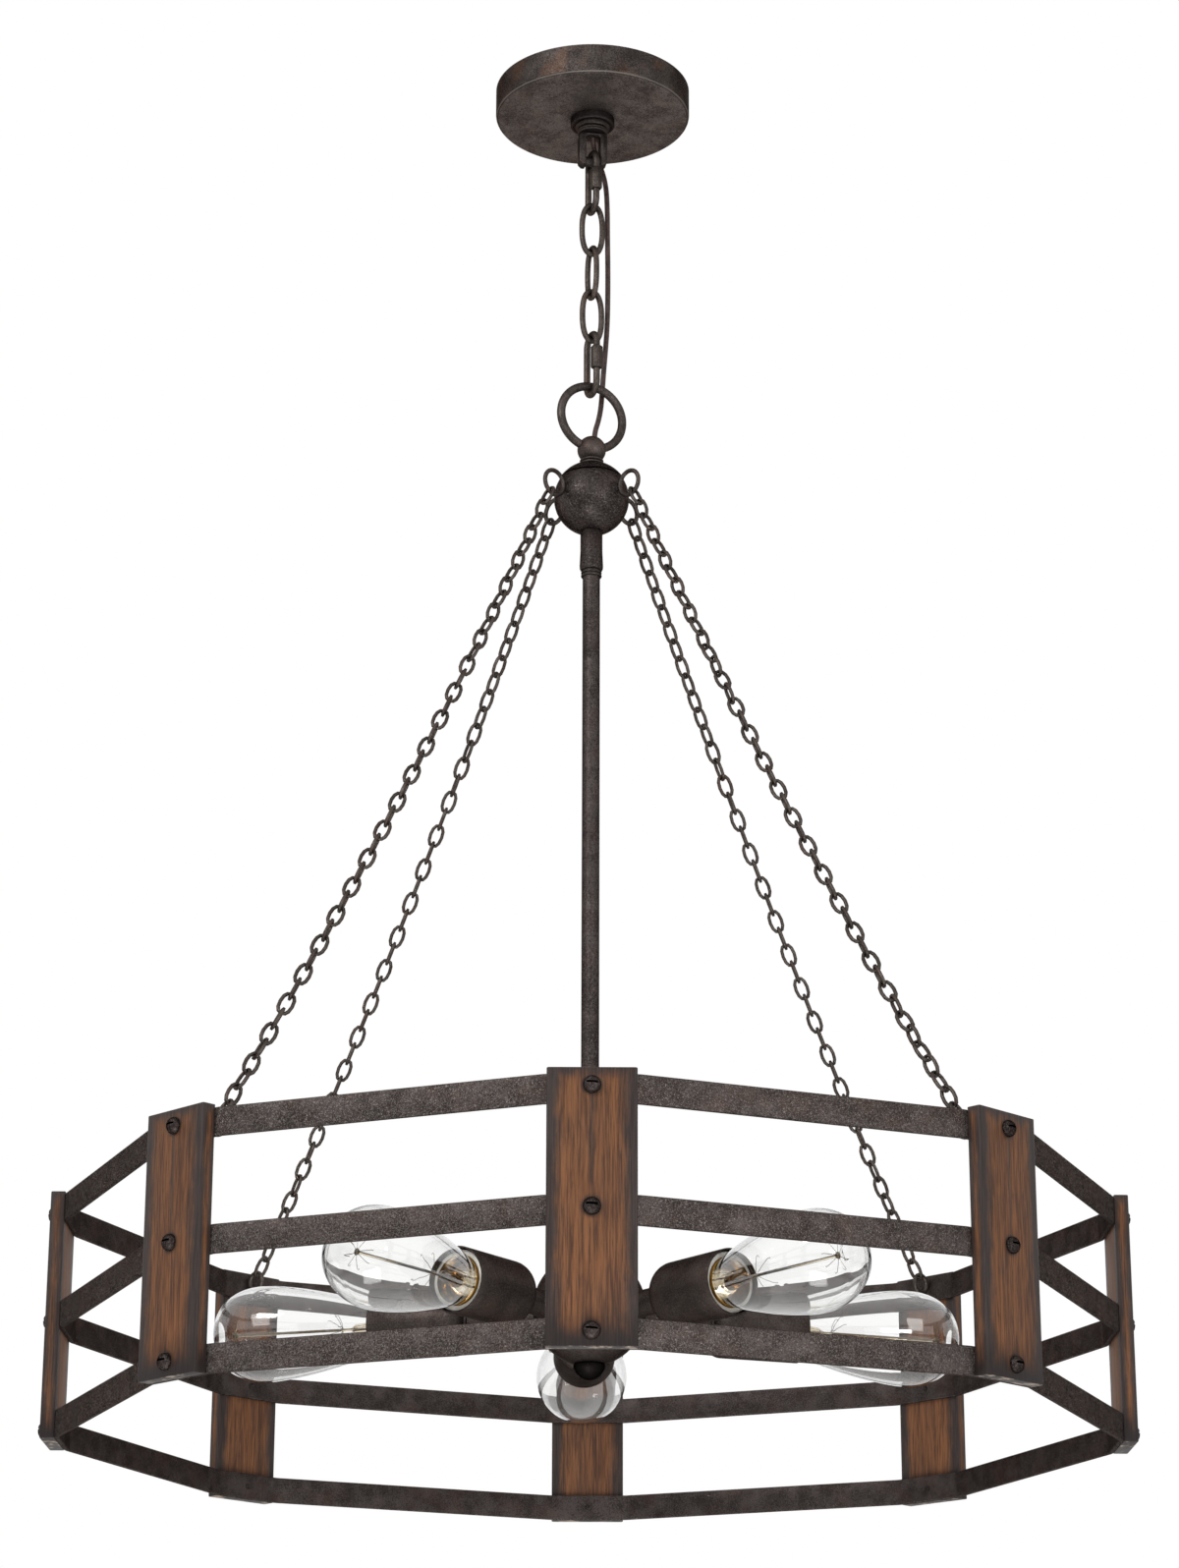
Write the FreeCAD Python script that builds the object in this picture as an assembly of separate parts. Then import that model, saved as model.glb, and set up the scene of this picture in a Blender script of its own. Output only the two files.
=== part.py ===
import FreeCAD, Part
import math
import os

V = FreeCAD.Vector

# Wagon wheel chandelier, millimetres. The origin is the middle of the ceiling
# plane, +Z is up, and -Y faces the side with the stave that stands in front.

# Ceiling plate: a flat bar across the outlet box, two slots for the box screws.
BAR_LENGTH = 120.0
BAR_WIDTH = 22.0
BAR_THICK = 2.0
SLOT_CENTRE = 40.0
SLOT_LENGTH = 24.0
SLOT_WIDTH = 5.0
NIPPLE_RADIUS = 5.0
NIPPLE_BORE = 3.25
NIPPLE_LENGTH = 24.0
LOCKNUT_ACROSS = 14.0
LOCKNUT_HEIGHT = 3.5
THREAD_CLEAR = 0.1

# Canopy, its collar and the cast loop that the chain hangs from.
CANOPY_RADIUS = 65.0
CANOPY_DEPTH = 20.5
CANOPY_WALL = 1.2
CANOPY_ROUND = 2.4
COLLAR_RADIUS = 14.75
COLLAR_HEIGHT = 5.5
COLLAR_CHAMFER = 0.9
NECK_RADIUS = 11.6
NECK_TOP = -14.0
NECK_BOTTOM = -32.0
NECK_RIBS = 2
NECK_GROOVE = 0.7
SLIDE_CLEAR = 0.35
LOOP_YAW = 10.0
LOOP_WIDTH = 19.0
LOOP_DEPTH = 9.0
LOOP_WINDOW = 9.5
LOOP_WINDOW_TOP = -34.0
LOOP_BAR = 7.0
LOOP_BOTTOM = -56.0
LOOP_CHAMFER = 2.2
CORD_BORE = 3.2

# Main chain: quick link, three links, quick link and the big ring.
HOOK_CLEAR = 0.25
LINK_WIRE = 3.8
LINK_INNER = 32.0
LINK_WIDTH = 17.6
QUICK_WIRE = 4.4
QUICK_INNER = 38.4
QUICK_WIDTH = 19.5
QUICK_GAP = 4.0
QUICK_LIP = 1.0
QUICK_NUT_ACROSS = 7.0
QUICK_NUT_LENGTH = 16.0
UPPER_NUT_DROP = 11.5
LOWER_NUT_DROP = 9.0
NUT_CLEAR = 0.15
UPPER_QUICK_YAW = 110.0
LINK_YAW_1 = 12.0
LINK_YAW_2 = 115.0
LINK_YAW_3 = 24.5
LOWER_QUICK_YAW = 114.5
RING_YAW = 24.5
RING_WIRE = 5.6
RING_OUTER = 49.5

# Knob, neck collar, ball with its lid, and the four ball eyes.
KNOB_RADIUS = 9.35
KNOB_DROP = 23.25
NECK_COLLAR_RADIUS = 7.8
NECK_COLLAR_HEIGHT = 4.2
BALL_RADIUS = 24.4
BALL_DROP = 57.75
LID_HEIGHT = 14.2
LID_PROUD = 0.5
EYE_OUTER = 19.5
EYE_WIRE = 2.9
EYE_REACH = 34.0
EYE_RISE = 1.2
EYE_SHANK = 5.0
SHANK_CLEAR = 0.1

# Coupling and rod.
SLEEVE_RADIUS = 7.15
SLEEVE_FLARE = 0.45
SLEEVE_LENGTH = 27.2
SLEEVE_RING_RADIUS = 6.2
SLEEVE_RING_HEIGHT = 4.3
ROD_RADIUS = 5.6
ROD_SOCKET = 12.0

# Drum: three hoops, eight staves, twenty-four screws, four hoop eyes.
STAVE_COUNT = 8
STAVE_OUTER = 325.5
STAVE_WIDTH = 48.3
STAVE_THICK = 8.8
STAVE_HEIGHT = 148.8
STAVE_ABOVE = 1.5
STAVE_CHAMFER = 1.0
HOOP_TOP_MIDDLE = -771.8
HOOP_PITCH = 65.5
HOOP_HEIGHT = 16.2
HOOP_THICK = 3.0
HOOP_BEND_MARGIN = 0.9
SCREW_RADIUS = 2.1
SCREW_CLEAR = 0.12
HEAD_RADIUS = 4.9
HEAD_HEIGHT = 4.2
HEAD_CHAMFER = 1.3
HOOP_EYE_OUTER = 15.0
HOOP_EYE_PROUD = 1.7
FRONT_EYE_OFFSET = 13.0
BACK_EYE_OFFSET = 5.0

# Side chains: four runs of small links from the ball to the top hoop.
SIDE_WIRE = 2.4
SIDE_PITCH = 11.9
SIDE_WIDTH = 10.2
SIDE_FLAT = 5.0
SIDE_SAG = 7.0
SIDE_TWIST = 45.0
TWIST_LINKS = 9

# Lamp cluster under the rod.
HUB_RADIUS = 34.4
HUB_MIDDLE = -828.6
FINIAL_RADIUS = 9.7
FINIAL_HEIGHT = 10.0
LAMP_COUNT = 5
LAMP_AXIS = -833.1
LAMP_YAW = 1.2
ARM_RADIUS = 8.0
ARM_SEAT = 2.0
CUP_RADIUS = 19.6
CUP_BACK = 76.9
CUP_MOUTH = 136.4
CUP_WALL = 1.2
CUP_ROUND = 9.0
SOCKET_RADIUS = 18.0
SOCKET_WALL = 2.4
SOCKET_RECESS = 3.0
SOCKET_BACK = 92.0
SOCKET_CLEAR = 0.2
SHELL_RADIUS = 14.3
SHELL_WALL = 0.5
SHELL_RECESS = 1.4
SHELL_LENGTH = 30.0
BASE_RADIUS = 13.0
BASE_LENGTH = 25.0
BASE_TIP = 100.0
BASE_TIP_RADIUS = 5.0
BULB_NECK = 12.9
BULB_RADIUS = 29.5
BULB_WIDEST = 207.5
BULB_TIP = 240.7
GLASS_WALL = 0.9
STEM_RADIUS = 4.2
STEM_LENGTH = 26.0
SPINE_RADIUS = 0.7
SPINE_LENGTH = 92.0
STAR_REACH = 11.0
STAR_WIRE = 0.5

# Cord: one lamp cord beside the chain. Its route points are chosen by hand.
CORD_RADIUS = 1.75
CORD_HOLE_CLEAR = 0.55
CORD_END_CLEAR = 0.3
CORD_ROUTE = [
    (0.2, -0.1, 0.0),
    (0.0, 0.0, -18.0),
    (0.1, 0.2, -35.6),
    (1.6, 7.0, -43.2),
    (6.4, 10.6, -52.5),
    (9.3, 8.8, -66.0),
    (10.1, 6.0, -84.0),
    (10.2, 5.2, -106.0),
    (10.5, 5.1, -128.0),
    (10.5, 5.9, -149.0),
    (10.2, 7.2, -168.0),
    (9.1, 8.6, -186.0),
    (7.8, 9.4, -202.0),
    (6.9, 9.2, -217.0),
    (6.0, 7.6, -230.0),
    (4.2, 3.9, -241.0),
    (2.1, 0.9, -249.0),
    (1.6, 0.3, -256.2),
]

# Facets round each turned or bent form.
CANOPY_SIDES = 24
TURNED_SIDES = 14
SMALL_SIDES = 10
LAMP_SIDES = 10
SOCKET_SIDES = 8
WIRE_SIDES = 6
CROWN_STEPS = 5
RING_STEPS = 14
EYE_STEPS = 8
HEAD_SIDES = 6
CORD_SIDES = 5
UP = V(0, 0, 1)
TINY = 1e-6


def unit(angle):
    return V(math.cos(math.radians(angle)), math.sin(math.radians(angle)), 0)


def closed(faces):
    solid = Part.Solid(Part.Shell(faces))
    if solid.Volume < 0:
        solid.reverse()
    return solid


def flat(points):
    return Part.Face(Part.makePolygon(list(points) + [points[0]]))


def placed(shape, origin, ex, ez):
    ey = ez.cross(ex)
    rows = (ex.x, ey.x, ez.x, origin.x, ex.y, ey.y, ez.y, origin.y,
            ex.z, ey.z, ez.z, origin.z, 0, 0, 0, 1)
    copy = shape.copy()
    copy.Placement = FreeCAD.Placement(FreeCAD.Matrix(*rows)).multiply(shape.Placement)
    return copy


def turned(profile, sides):
    """Faceted turning about Z of a closed outline of (radius, height) points."""
    rings = []
    for radius, height in profile:
        if radius < TINY:
            rings.append([V(0, 0, height)])
            continue
        ring = []
        for i in range(sides):
            ring.append(unit(360.0 * (i + 0.5) / sides) * radius + UP * height)
        rings.append(ring)
    faces = []
    for k, low in enumerate(rings):
        high = rings[(k + 1) % len(rings)]
        if len(low) == 1 and len(high) == 1:
            continue
        level = abs(low[0].z - high[0].z) < TINY
        if level and len(high) == 1:
            faces.append(flat(low))
        elif level and len(low) == 1:
            faces.append(flat(high))
        elif level:
            narrow, wide = sorted((low, high), key=lambda ring: ring[0].Length)
            faces.append(flat(wide).cut(flat(narrow)).Faces[0])
        else:
            for i in range(sides):
                j = (i + 1) % sides
                if len(low) == 1:
                    faces.append(flat([low[0], high[j], high[i]]))
                elif len(high) == 1:
                    faces.append(flat([low[i], low[j], high[0]]))
                else:
                    faces.append(flat([low[i], low[j], high[j], high[i]]))
    return closed(faces)


def round_bore(radius, sides):
    """Corner radius of a faceted bore whose flats lie at the given radius."""
    return radius / math.cos(math.pi / sides)


def round_wire(radius, sides, turn=0.0):
    """Wire section with a flat inward and the area of the round wire."""
    corner = radius * math.sqrt(2 * math.pi / (sides * math.sin(2 * math.pi / sides)))
    points = []
    for i in range(sides):
        angle = math.radians(turn) + 2 * math.pi * (i + 0.5) / sides
        points.append((corner * math.cos(angle), corner * math.sin(angle)))
    return points


def bent_wire(path, section):
    """Closed wire loop: path in the local XZ plane, section (outward, sideways)."""
    count = len(path)
    outward = []
    for i in range(count):
        (x0, z0), (x1, z1) = path[i], path[(i + 1) % count]
        length = math.hypot(x1 - x0, z1 - z0)
        outward.append(((z1 - z0) / length, (x0 - x1) / length))
    rings = []
    for i in range(count):
        (a0, b0), (a1, b1) = outward[i - 1], outward[i]
        scale = 1.0 / (1.0 + a0 * a1 + b0 * b1)
        mx, mz = (a0 + a1) * scale, (b0 + b1) * scale
        ring = []
        for out, side in section:
            ring.append(V(path[i][0] + out * mx, -side, path[i][1] + out * mz))
        rings.append(ring)
    faces = []
    for i in range(count):
        here, there = rings[i], rings[(i + 1) % count]
        for j in range(len(section)):
            k = (j + 1) % len(section)
            faces.append(flat([here[j], there[j], there[k], here[k]]))
    return closed(faces)


def tube(points, radius, sides):
    """Faceted tube along straight pieces, mitred where they meet."""
    first = (points[1] - points[0]).normalize()
    across = first.cross(V(1, 0, 0)).normalize()
    beside = first.cross(across)
    corner = radius * math.sqrt(2 * math.pi / (sides * math.sin(2 * math.pi / sides)))
    ring = []
    for i in range(sides):
        angle = 2 * math.pi * i / sides
        ring.append(points[0] + across * (corner * math.cos(angle)) + beside * (corner * math.sin(angle)))
    rings = [ring]
    for i in range(1, len(points)):
        along = (points[i] - points[i - 1]).normalize()
        normal = along
        if i + 1 < len(points):
            normal = (along + (points[i + 1] - points[i]).normalize()).normalize()
        ring = []
        for point in rings[-1]:
            reach = (points[i] - point).dot(normal) / along.dot(normal)
            ring.append(point + along * reach)
        rings.append(ring)
    faces = [flat(rings[0]), flat(rings[-1])]
    for i in range(len(rings) - 1):
        for j in range(sides):
            k = (j + 1) % sides
            faces.append(flat([rings[i][j], rings[i + 1][j], rings[i + 1][k], rings[i][k]]))
    return closed(faces)


def oval_path(inner, width, wire):
    """Middle line of an oval link: two straight legs and two crowns."""
    radius = (width - wire) / 2
    half = (inner + wire) / 2 - radius
    path = []
    for top in (1, -1):
        for i in range(CROWN_STEPS + 1):
            angle = math.radians(180.0 * i / CROWN_STEPS)
            bulge = 1 / math.cos(math.pi / CROWN_STEPS / 2)
            x = radius * math.cos(angle) * top
            z = radius * math.sin(angle) * top * bulge + half * top
            path.append((x, z))
    return path


def ring_path(radius, steps):
    bulge = 1 / math.cos(math.pi / steps)
    path = []
    for i in range(steps):
        angle = 2 * math.pi * (i + 0.5) / steps
        path.append((radius * bulge * math.sin(-angle), -radius * bulge * math.cos(angle)))
    return path[::-1]


def hexagon(across, height, bore):
    outer = across / 2 / math.cos(math.pi / 6)
    inner = round_bore(bore, 6)
    return turned([(inner, 0), (outer, 0), (outer, height), (inner, height)], 6)


parts = {}

# Ceiling plate with its slots, the hollow nipple and the locknut under the plate.
plate = Part.makeBox(BAR_LENGTH, BAR_WIDTH, BAR_THICK)
plate.translate(V(-BAR_LENGTH / 2, -BAR_WIDTH / 2, -BAR_THICK))
for side in (-1, 1):
    half = (SLOT_LENGTH - SLOT_WIDTH) / 2
    slot = Part.makeBox(2 * half, SLOT_WIDTH, 3 * BAR_THICK)
    slot.translate(V(side * SLOT_CENTRE - half, -SLOT_WIDTH / 2, -2 * BAR_THICK))
    plate = plate.cut(slot)
    for end in (-half, half):
        foot = V(side * SLOT_CENTRE + end, 0, -2 * BAR_THICK)
        plate = plate.cut(Part.makeCylinder(SLOT_WIDTH / 2, 3 * BAR_THICK, foot))
threaded_hole = round_bore(NIPPLE_RADIUS + THREAD_CLEAR, SMALL_SIDES)
centre_hole = turned([(0, -2 * BAR_THICK), (threaded_hole, -2 * BAR_THICK),
                      (threaded_hole, BAR_THICK), (0, BAR_THICK)], SMALL_SIDES)
parts["ceiling_crossbar"] = plate.cut(centre_hole)
nipple_bore = round_bore(NIPPLE_BORE, SMALL_SIDES)
parts["threaded_nipple"] = turned([(nipple_bore, -NIPPLE_LENGTH), (NIPPLE_RADIUS, -NIPPLE_LENGTH),
                                   (NIPPLE_RADIUS, 0), (nipple_bore, 0)], SMALL_SIDES)
locknut = hexagon(LOCKNUT_ACROSS, LOCKNUT_HEIGHT, NIPPLE_RADIUS + THREAD_CLEAR)
locknut.translate(V(0, 0, -BAR_THICK - LOCKNUT_HEIGHT))
parts["nipple_locknut"] = locknut

# Canopy: a shallow dish, open to the ceiling, with a hole for the neck.
slide_bore = round_bore(NECK_RADIUS + SLIDE_CLEAR, TURNED_SIDES)
canopy_bore = round_bore(NECK_RADIUS + 2 * SLIDE_CLEAR, CANOPY_SIDES)
parts["canopy"] = turned([
    (CANOPY_RADIUS, 0),
    (CANOPY_RADIUS - CANOPY_WALL, 0),
    (CANOPY_RADIUS - CANOPY_WALL, CANOPY_ROUND - CANOPY_DEPTH),
    (CANOPY_RADIUS - CANOPY_ROUND, CANOPY_WALL - CANOPY_DEPTH),
    (canopy_bore, CANOPY_WALL - CANOPY_DEPTH),
    (canopy_bore, -CANOPY_DEPTH),
    (CANOPY_RADIUS - CANOPY_ROUND, -CANOPY_DEPTH),
    (CANOPY_RADIUS - CANOPY_ROUND / 4, CANOPY_ROUND / 4 - CANOPY_DEPTH),
    (CANOPY_RADIUS, CANOPY_ROUND - CANOPY_DEPTH),
], CANOPY_SIDES)
collar_bottom = -CANOPY_DEPTH - COLLAR_HEIGHT
parts["canopy_collar"] = turned([
    (slide_bore, -CANOPY_DEPTH),
    (slide_bore, collar_bottom),
    (COLLAR_RADIUS - COLLAR_CHAMFER, collar_bottom),
    (COLLAR_RADIUS, collar_bottom + COLLAR_CHAMFER),
    (COLLAR_RADIUS, -CANOPY_DEPTH),
], TURNED_SIDES)

# Loop: a ribbed round neck that carries a faceted eye with a round lower bar.
neck_bore = round_bore(NIPPLE_RADIUS + THREAD_CLEAR, TURNED_SIDES)
cord_bore = round_bore(CORD_BORE, TURNED_SIDES)
rib = (collar_bottom - NECK_BOTTOM) / (2 * NECK_RIBS)
neck = [(cord_bore, NECK_BOTTOM), (NECK_RADIUS - NECK_GROOVE, NECK_BOTTOM)]
for i in range(NECK_RIBS):
    foot = NECK_BOTTOM + 2 * rib * i
    neck.append((NECK_RADIUS, foot + rib / 2))
    neck.append((NECK_RADIUS, foot + rib))
    neck.append((NECK_RADIUS - NECK_GROOVE, foot + rib * 1.5))
neck.append((NECK_RADIUS, collar_bottom))
neck.append((NECK_RADIUS, NECK_TOP))
neck.append((neck_bore, NECK_TOP))
neck.append((neck_bore, -NIPPLE_LENGTH))
neck.append((cord_bore, -NIPPLE_LENGTH))
neck = turned(neck, TURNED_SIDES)
half = LOOP_WIDTH / 2
outline = [(-half, LOOP_BOTTOM + LOOP_CHAMFER), (LOOP_CHAMFER - half, LOOP_BOTTOM),
           (half - LOOP_CHAMFER, LOOP_BOTTOM), (half, LOOP_BOTTOM + LOOP_CHAMFER),
           (half, NECK_BOTTOM - LOOP_CHAMFER / 2), (half - LOOP_CHAMFER / 2, NECK_BOTTOM),
           (LOOP_CHAMFER / 2 - half, NECK_BOTTOM), (-half, NECK_BOTTOM - LOOP_CHAMFER / 2)]
block = flat([V(x, -LOOP_DEPTH / 2, z) for x, z in outline]).extrude(V(0, LOOP_DEPTH, 0))
window = Part.makeBox(LOOP_WINDOW, 2 * LOOP_DEPTH, LOOP_WINDOW_TOP - LOOP_BOTTOM + 1)
window.translate(V(-LOOP_WINDOW / 2, -LOOP_DEPTH, LOOP_BOTTOM - 1))
block = block.cut(window)
well = turned([(0, LOOP_WINDOW_TOP - 1), (cord_bore, LOOP_WINDOW_TOP - 1),
               (cord_bore, NECK_BOTTOM + 1), (0, NECK_BOTTOM + 1)], TURNED_SIDES)
block = placed(block, V(0, 0, 0), unit(LOOP_YAW), UP).cut(well)
bar_middle = LOOP_BOTTOM + LOOP_BAR / 2
bar_corner = round_wire(LOOP_BAR / 2, SMALL_SIDES)[0]
bar_corner = math.hypot(bar_corner[0], bar_corner[1])
bar = turned([(0, -LOOP_WIDTH / 2 + LOOP_CHAMFER), (bar_corner, -LOOP_WIDTH / 2 + LOOP_CHAMFER),
              (bar_corner, LOOP_WIDTH / 2 - LOOP_CHAMFER), (0, LOOP_WIDTH / 2 - LOOP_CHAMFER)],
             SMALL_SIDES)
bar = placed(bar, V(0, 0, bar_middle), UP, unit(LOOP_YAW))
parts["canopy_loop"] = block.fuse(neck).fuse(bar).removeSplitter()

# Main chain. Each piece hangs inside the bottom of the one above it.
link_section = round_wire(LINK_WIRE / 2, WIRE_SIDES)
quick_section = round_wire(QUICK_WIRE / 2, WIRE_SIDES)
link = bent_wire(oval_path(LINK_INNER, LINK_WIDTH, LINK_WIRE), link_section)
quick = bent_wire(oval_path(QUICK_INNER, QUICK_WIDTH, QUICK_WIRE), quick_section)
nut_bore = QUICK_WIRE / 2 + NUT_CLEAR
quick_nut = hexagon(QUICK_NUT_ACROSS, QUICK_NUT_LENGTH, nut_bore)
quick_leg = (QUICK_WIDTH - QUICK_WIRE) / 2


def quick_link(top, yaw, drop):
    """Quick link and its nut; the nut bridges the gap in the nearer leg."""
    middle = top - QUICK_INNER / 2
    nut_top = top - drop
    gap = Part.makeBox(2 * QUICK_WIRE, 2 * QUICK_WIRE, QUICK_GAP)
    foot = nut_top - QUICK_LIP - QUICK_GAP - middle
    gap.translate(V(-quick_leg - QUICK_WIRE, -QUICK_WIRE, foot))
    ring = placed(quick.cut(gap), V(0, 0, middle), unit(yaw), UP)
    seat = unit(yaw) * -quick_leg + UP * (nut_top - QUICK_NUT_LENGTH)
    return ring, placed(quick_nut, seat, unit(yaw), UP)


loop_inner_bottom = LOOP_BOTTOM + LOOP_BAR
quick_top = loop_inner_bottom + HOOK_CLEAR
upper = quick_link(quick_top, UPPER_QUICK_YAW, UPPER_NUT_DROP)
parts["upper_quick_link"], parts["upper_quick_link_nut"] = upper
inner_top = quick_top - QUICK_INNER + HOOK_CLEAR
for number, yaw in ((1, LINK_YAW_1), (2, LINK_YAW_2), (3, LINK_YAW_3)):
    middle = V(0, 0, inner_top - LINK_INNER / 2)
    parts["chain_link_%d" % number] = placed(link, middle, unit(yaw), UP)
    inner_top = inner_top - LINK_INNER + HOOK_CLEAR
lower = quick_link(inner_top, LOWER_QUICK_YAW, LOWER_NUT_DROP)
parts["lower_quick_link"], parts["lower_quick_link_nut"] = lower
ring_inner_top = inner_top - QUICK_INNER + HOOK_CLEAR
ring_radius = (RING_OUTER - RING_WIRE) / 2
ring_middle = ring_inner_top + RING_WIRE / 2 - ring_radius
ring = bent_wire(ring_path(ring_radius, RING_STEPS), round_wire(RING_WIRE / 2, WIRE_SIDES))
ring = placed(ring, V(0, 0, ring_middle), unit(RING_YAW), UP)

# Knob: a small ball that grips both ends of the ring and lets the cord in.
knob_middle = ring_middle - KNOB_DROP
ball_middle = ring_middle - BALL_DROP
seam = ball_middle + LID_HEIGHT
neck_top = ball_middle + BALL_RADIUS + NECK_COLLAR_HEIGHT - 1.2
knob_angles = [-75, -50, -20, 10, 40, 65, 90]


def arc_points(radius, middle, angles, start_flat=None):
    points = []
    for angle in angles:
        turn = math.radians(angle)
        points.append((radius * math.cos(turn), middle + radius * math.sin(turn)))
    return points


knob_outline = [(0, neck_top)]
for radius, height in arc_points(KNOB_RADIUS, knob_middle, knob_angles):
    if height > neck_top + TINY:
        knob_outline.append((radius if radius > 0.01 else 0, height))
knob_outline.insert(1, (math.sqrt(KNOB_RADIUS ** 2 - (neck_top - knob_middle) ** 2), neck_top))
knob = turned(knob_outline, SMALL_SIDES)
cord_end = V(*CORD_ROUTE[-1])
hole = round_bore(CORD_RADIUS + CORD_HOLE_CLEAR, SMALL_SIDES)
pit = turned([(0, 0), (hole, 0), (hole, 2 * KNOB_RADIUS), (0, 2 * KNOB_RADIUS)], SMALL_SIDES)
pit.translate(V(cord_end.x, cord_end.y, cord_end.z - CORD_END_CLEAR))
knob_ball = turned([(0, knob_middle - KNOB_RADIUS)] +
                   [(p if p > 0.01 else 0, q) for p, q in
                    arc_points(KNOB_RADIUS, knob_middle, [-60, -30, 0, 30, 60, 90])], SMALL_SIDES)
parts["hanging_ring"] = ring.cut(knob_ball)
parts["knob"] = knob.cut(pit).cut(parts["hanging_ring"])

# Neck collar between the knob and the lid, with two ribs.
waist = NECK_COLLAR_RADIUS * 0.9
step = NECK_COLLAR_HEIGHT / 4
base = neck_top - NECK_COLLAR_HEIGHT
parts["neck_collar"] = turned([
    (0, base),
    (NECK_COLLAR_RADIUS, base),
    (NECK_COLLAR_RADIUS, base + step),
    (waist, base + 2 * step),
    (NECK_COLLAR_RADIUS, base + 3 * step),
    (NECK_COLLAR_RADIUS * 0.94, neck_top),
    (0, neck_top),
], SMALL_SIDES)

# Ball: the body below the seam, and the slightly proud lid above it.
lid_angle = math.degrees(math.asin(LID_HEIGHT / BALL_RADIUS))
lid_steps = [lid_angle + (90 - lid_angle) * i / 5.0 for i in range(5)]
lid_outline = [(0, seam)]
for radius, height in arc_points(BALL_RADIUS + LID_PROUD, ball_middle, lid_steps):
    lid_outline.append((radius, min(max(height, seam), base)))
lid_outline[1] = (lid_outline[1][0], seam)
lid_outline.append((NECK_COLLAR_RADIUS * 0.8, base))
lid_outline.append((0, base))
lid_outline = [p for i, p in enumerate(lid_outline) if i == 0 or p != lid_outline[i - 1]]
parts["ball_lid"] = turned(lid_outline, TURNED_SIDES)
sleeve_top = ball_middle - math.sqrt(BALL_RADIUS ** 2 - SLEEVE_RADIUS ** 2)
body_low = -math.degrees(math.acos(SLEEVE_RADIUS / BALL_RADIUS))
body_steps = [body_low + (lid_angle - body_low) * i / 6.0 for i in range(7)]
body_outline = [(0, sleeve_top)]
body_outline += arc_points(BALL_RADIUS, ball_middle, body_steps)
body_outline.append((0, seam))
ball = turned(body_outline, TURNED_SIDES)
eye_section = round_wire(EYE_WIRE / 2, 4)
eye_radius = (EYE_OUTER - EYE_WIRE) / 2
eye_height = ball_middle + EYE_RISE
eye = bent_wire(ring_path(eye_radius, EYE_STEPS), eye_section)
shank_end = EYE_REACH - eye_radius
shank_start = BALL_RADIUS - EYE_SHANK
shank_size = eye_section[0][0]
shank = Part.makeBox(shank_end - shank_start, 2 * shank_size, 2 * shank_size)
shank.translate(V(shank_start - EYE_REACH, -shank_size, -shank_size))
socket_size = shank_size + SHANK_CLEAR
socket = Part.makeBox(BALL_RADIUS, 2 * socket_size, 2 * socket_size)
socket.translate(V(shank_start - EYE_REACH - SHANK_CLEAR, -socket_size, -socket_size))
eye = eye.fuse(shank).removeSplitter()
eyes = []
for azimuth in (45, 135, 225, 315):
    origin = unit(azimuth) * EYE_REACH + UP * eye_height
    eyes.append(placed(eye, origin, unit(azimuth), UP))
    ball = ball.cut(placed(socket, origin, unit(azimuth), UP))
parts["ball_body"] = ball
parts["ball_eyes"] = Part.makeCompound(eyes)

# Coupling: a sleeve with a slight flare and a small ring under it, then the rod.
sleeve_bottom = sleeve_top - SLEEVE_LENGTH
coupling_bottom = sleeve_bottom - SLEEVE_RING_HEIGHT
rod_top = coupling_bottom + ROD_SOCKET
rod_bore = round_bore(ROD_RADIUS + THREAD_CLEAR, SMALL_SIDES)
parts["rod_coupling"] = turned([
    (0, sleeve_top),
    (SLEEVE_RADIUS, sleeve_top),
    (SLEEVE_RADIUS, sleeve_bottom + SLEEVE_LENGTH * 0.4),
    (SLEEVE_RADIUS + SLEEVE_FLARE, sleeve_bottom + 2.5),
    (SLEEVE_RADIUS + SLEEVE_FLARE, sleeve_bottom + 1),
    (SLEEVE_RING_RADIUS + 0.2, sleeve_bottom),
    (SLEEVE_RING_RADIUS + 0.2, coupling_bottom),
    (rod_bore, coupling_bottom),
    (rod_bore, rod_top),
    (0, rod_top),
], SMALL_SIDES)
hub_top = HUB_MIDDLE + math.sqrt(HUB_RADIUS ** 2 - (2 * ROD_RADIUS) ** 2)
parts["rod"] = turned([(0, hub_top), (ROD_RADIUS, hub_top), (ROD_RADIUS, rod_top), (0, rod_top)],
                      SMALL_SIDES)

# Hub ball with flat seats for the rod and the five arms, and the finial button.
finial_top = HUB_MIDDLE - math.sqrt(HUB_RADIUS ** 2 - FINIAL_RADIUS ** 2)
hub_low = -math.degrees(math.acos(FINIAL_RADIUS / HUB_RADIUS))
hub_high = math.degrees(math.acos(2 * ROD_RADIUS / HUB_RADIUS))
hub_steps = [hub_low + (hub_high - hub_low) * i / 6.0 for i in range(7)]
hub_outline = [(0, finial_top)] + arc_points(HUB_RADIUS, HUB_MIDDLE, hub_steps) + [(0, hub_top)]
hub = turned(hub_outline, TURNED_SIDES)
parts["hub_finial"] = turned([
    (0, finial_top - FINIAL_HEIGHT),
    (FINIAL_RADIUS * 0.6, finial_top - FINIAL_HEIGHT),
    (FINIAL_RADIUS * 0.92, finial_top - FINIAL_HEIGHT * 0.6),
    (FINIAL_RADIUS, finial_top - FINIAL_HEIGHT * 0.25),
    (FINIAL_RADIUS, finial_top),
    (0, finial_top),
], SMALL_SIDES)

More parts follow.
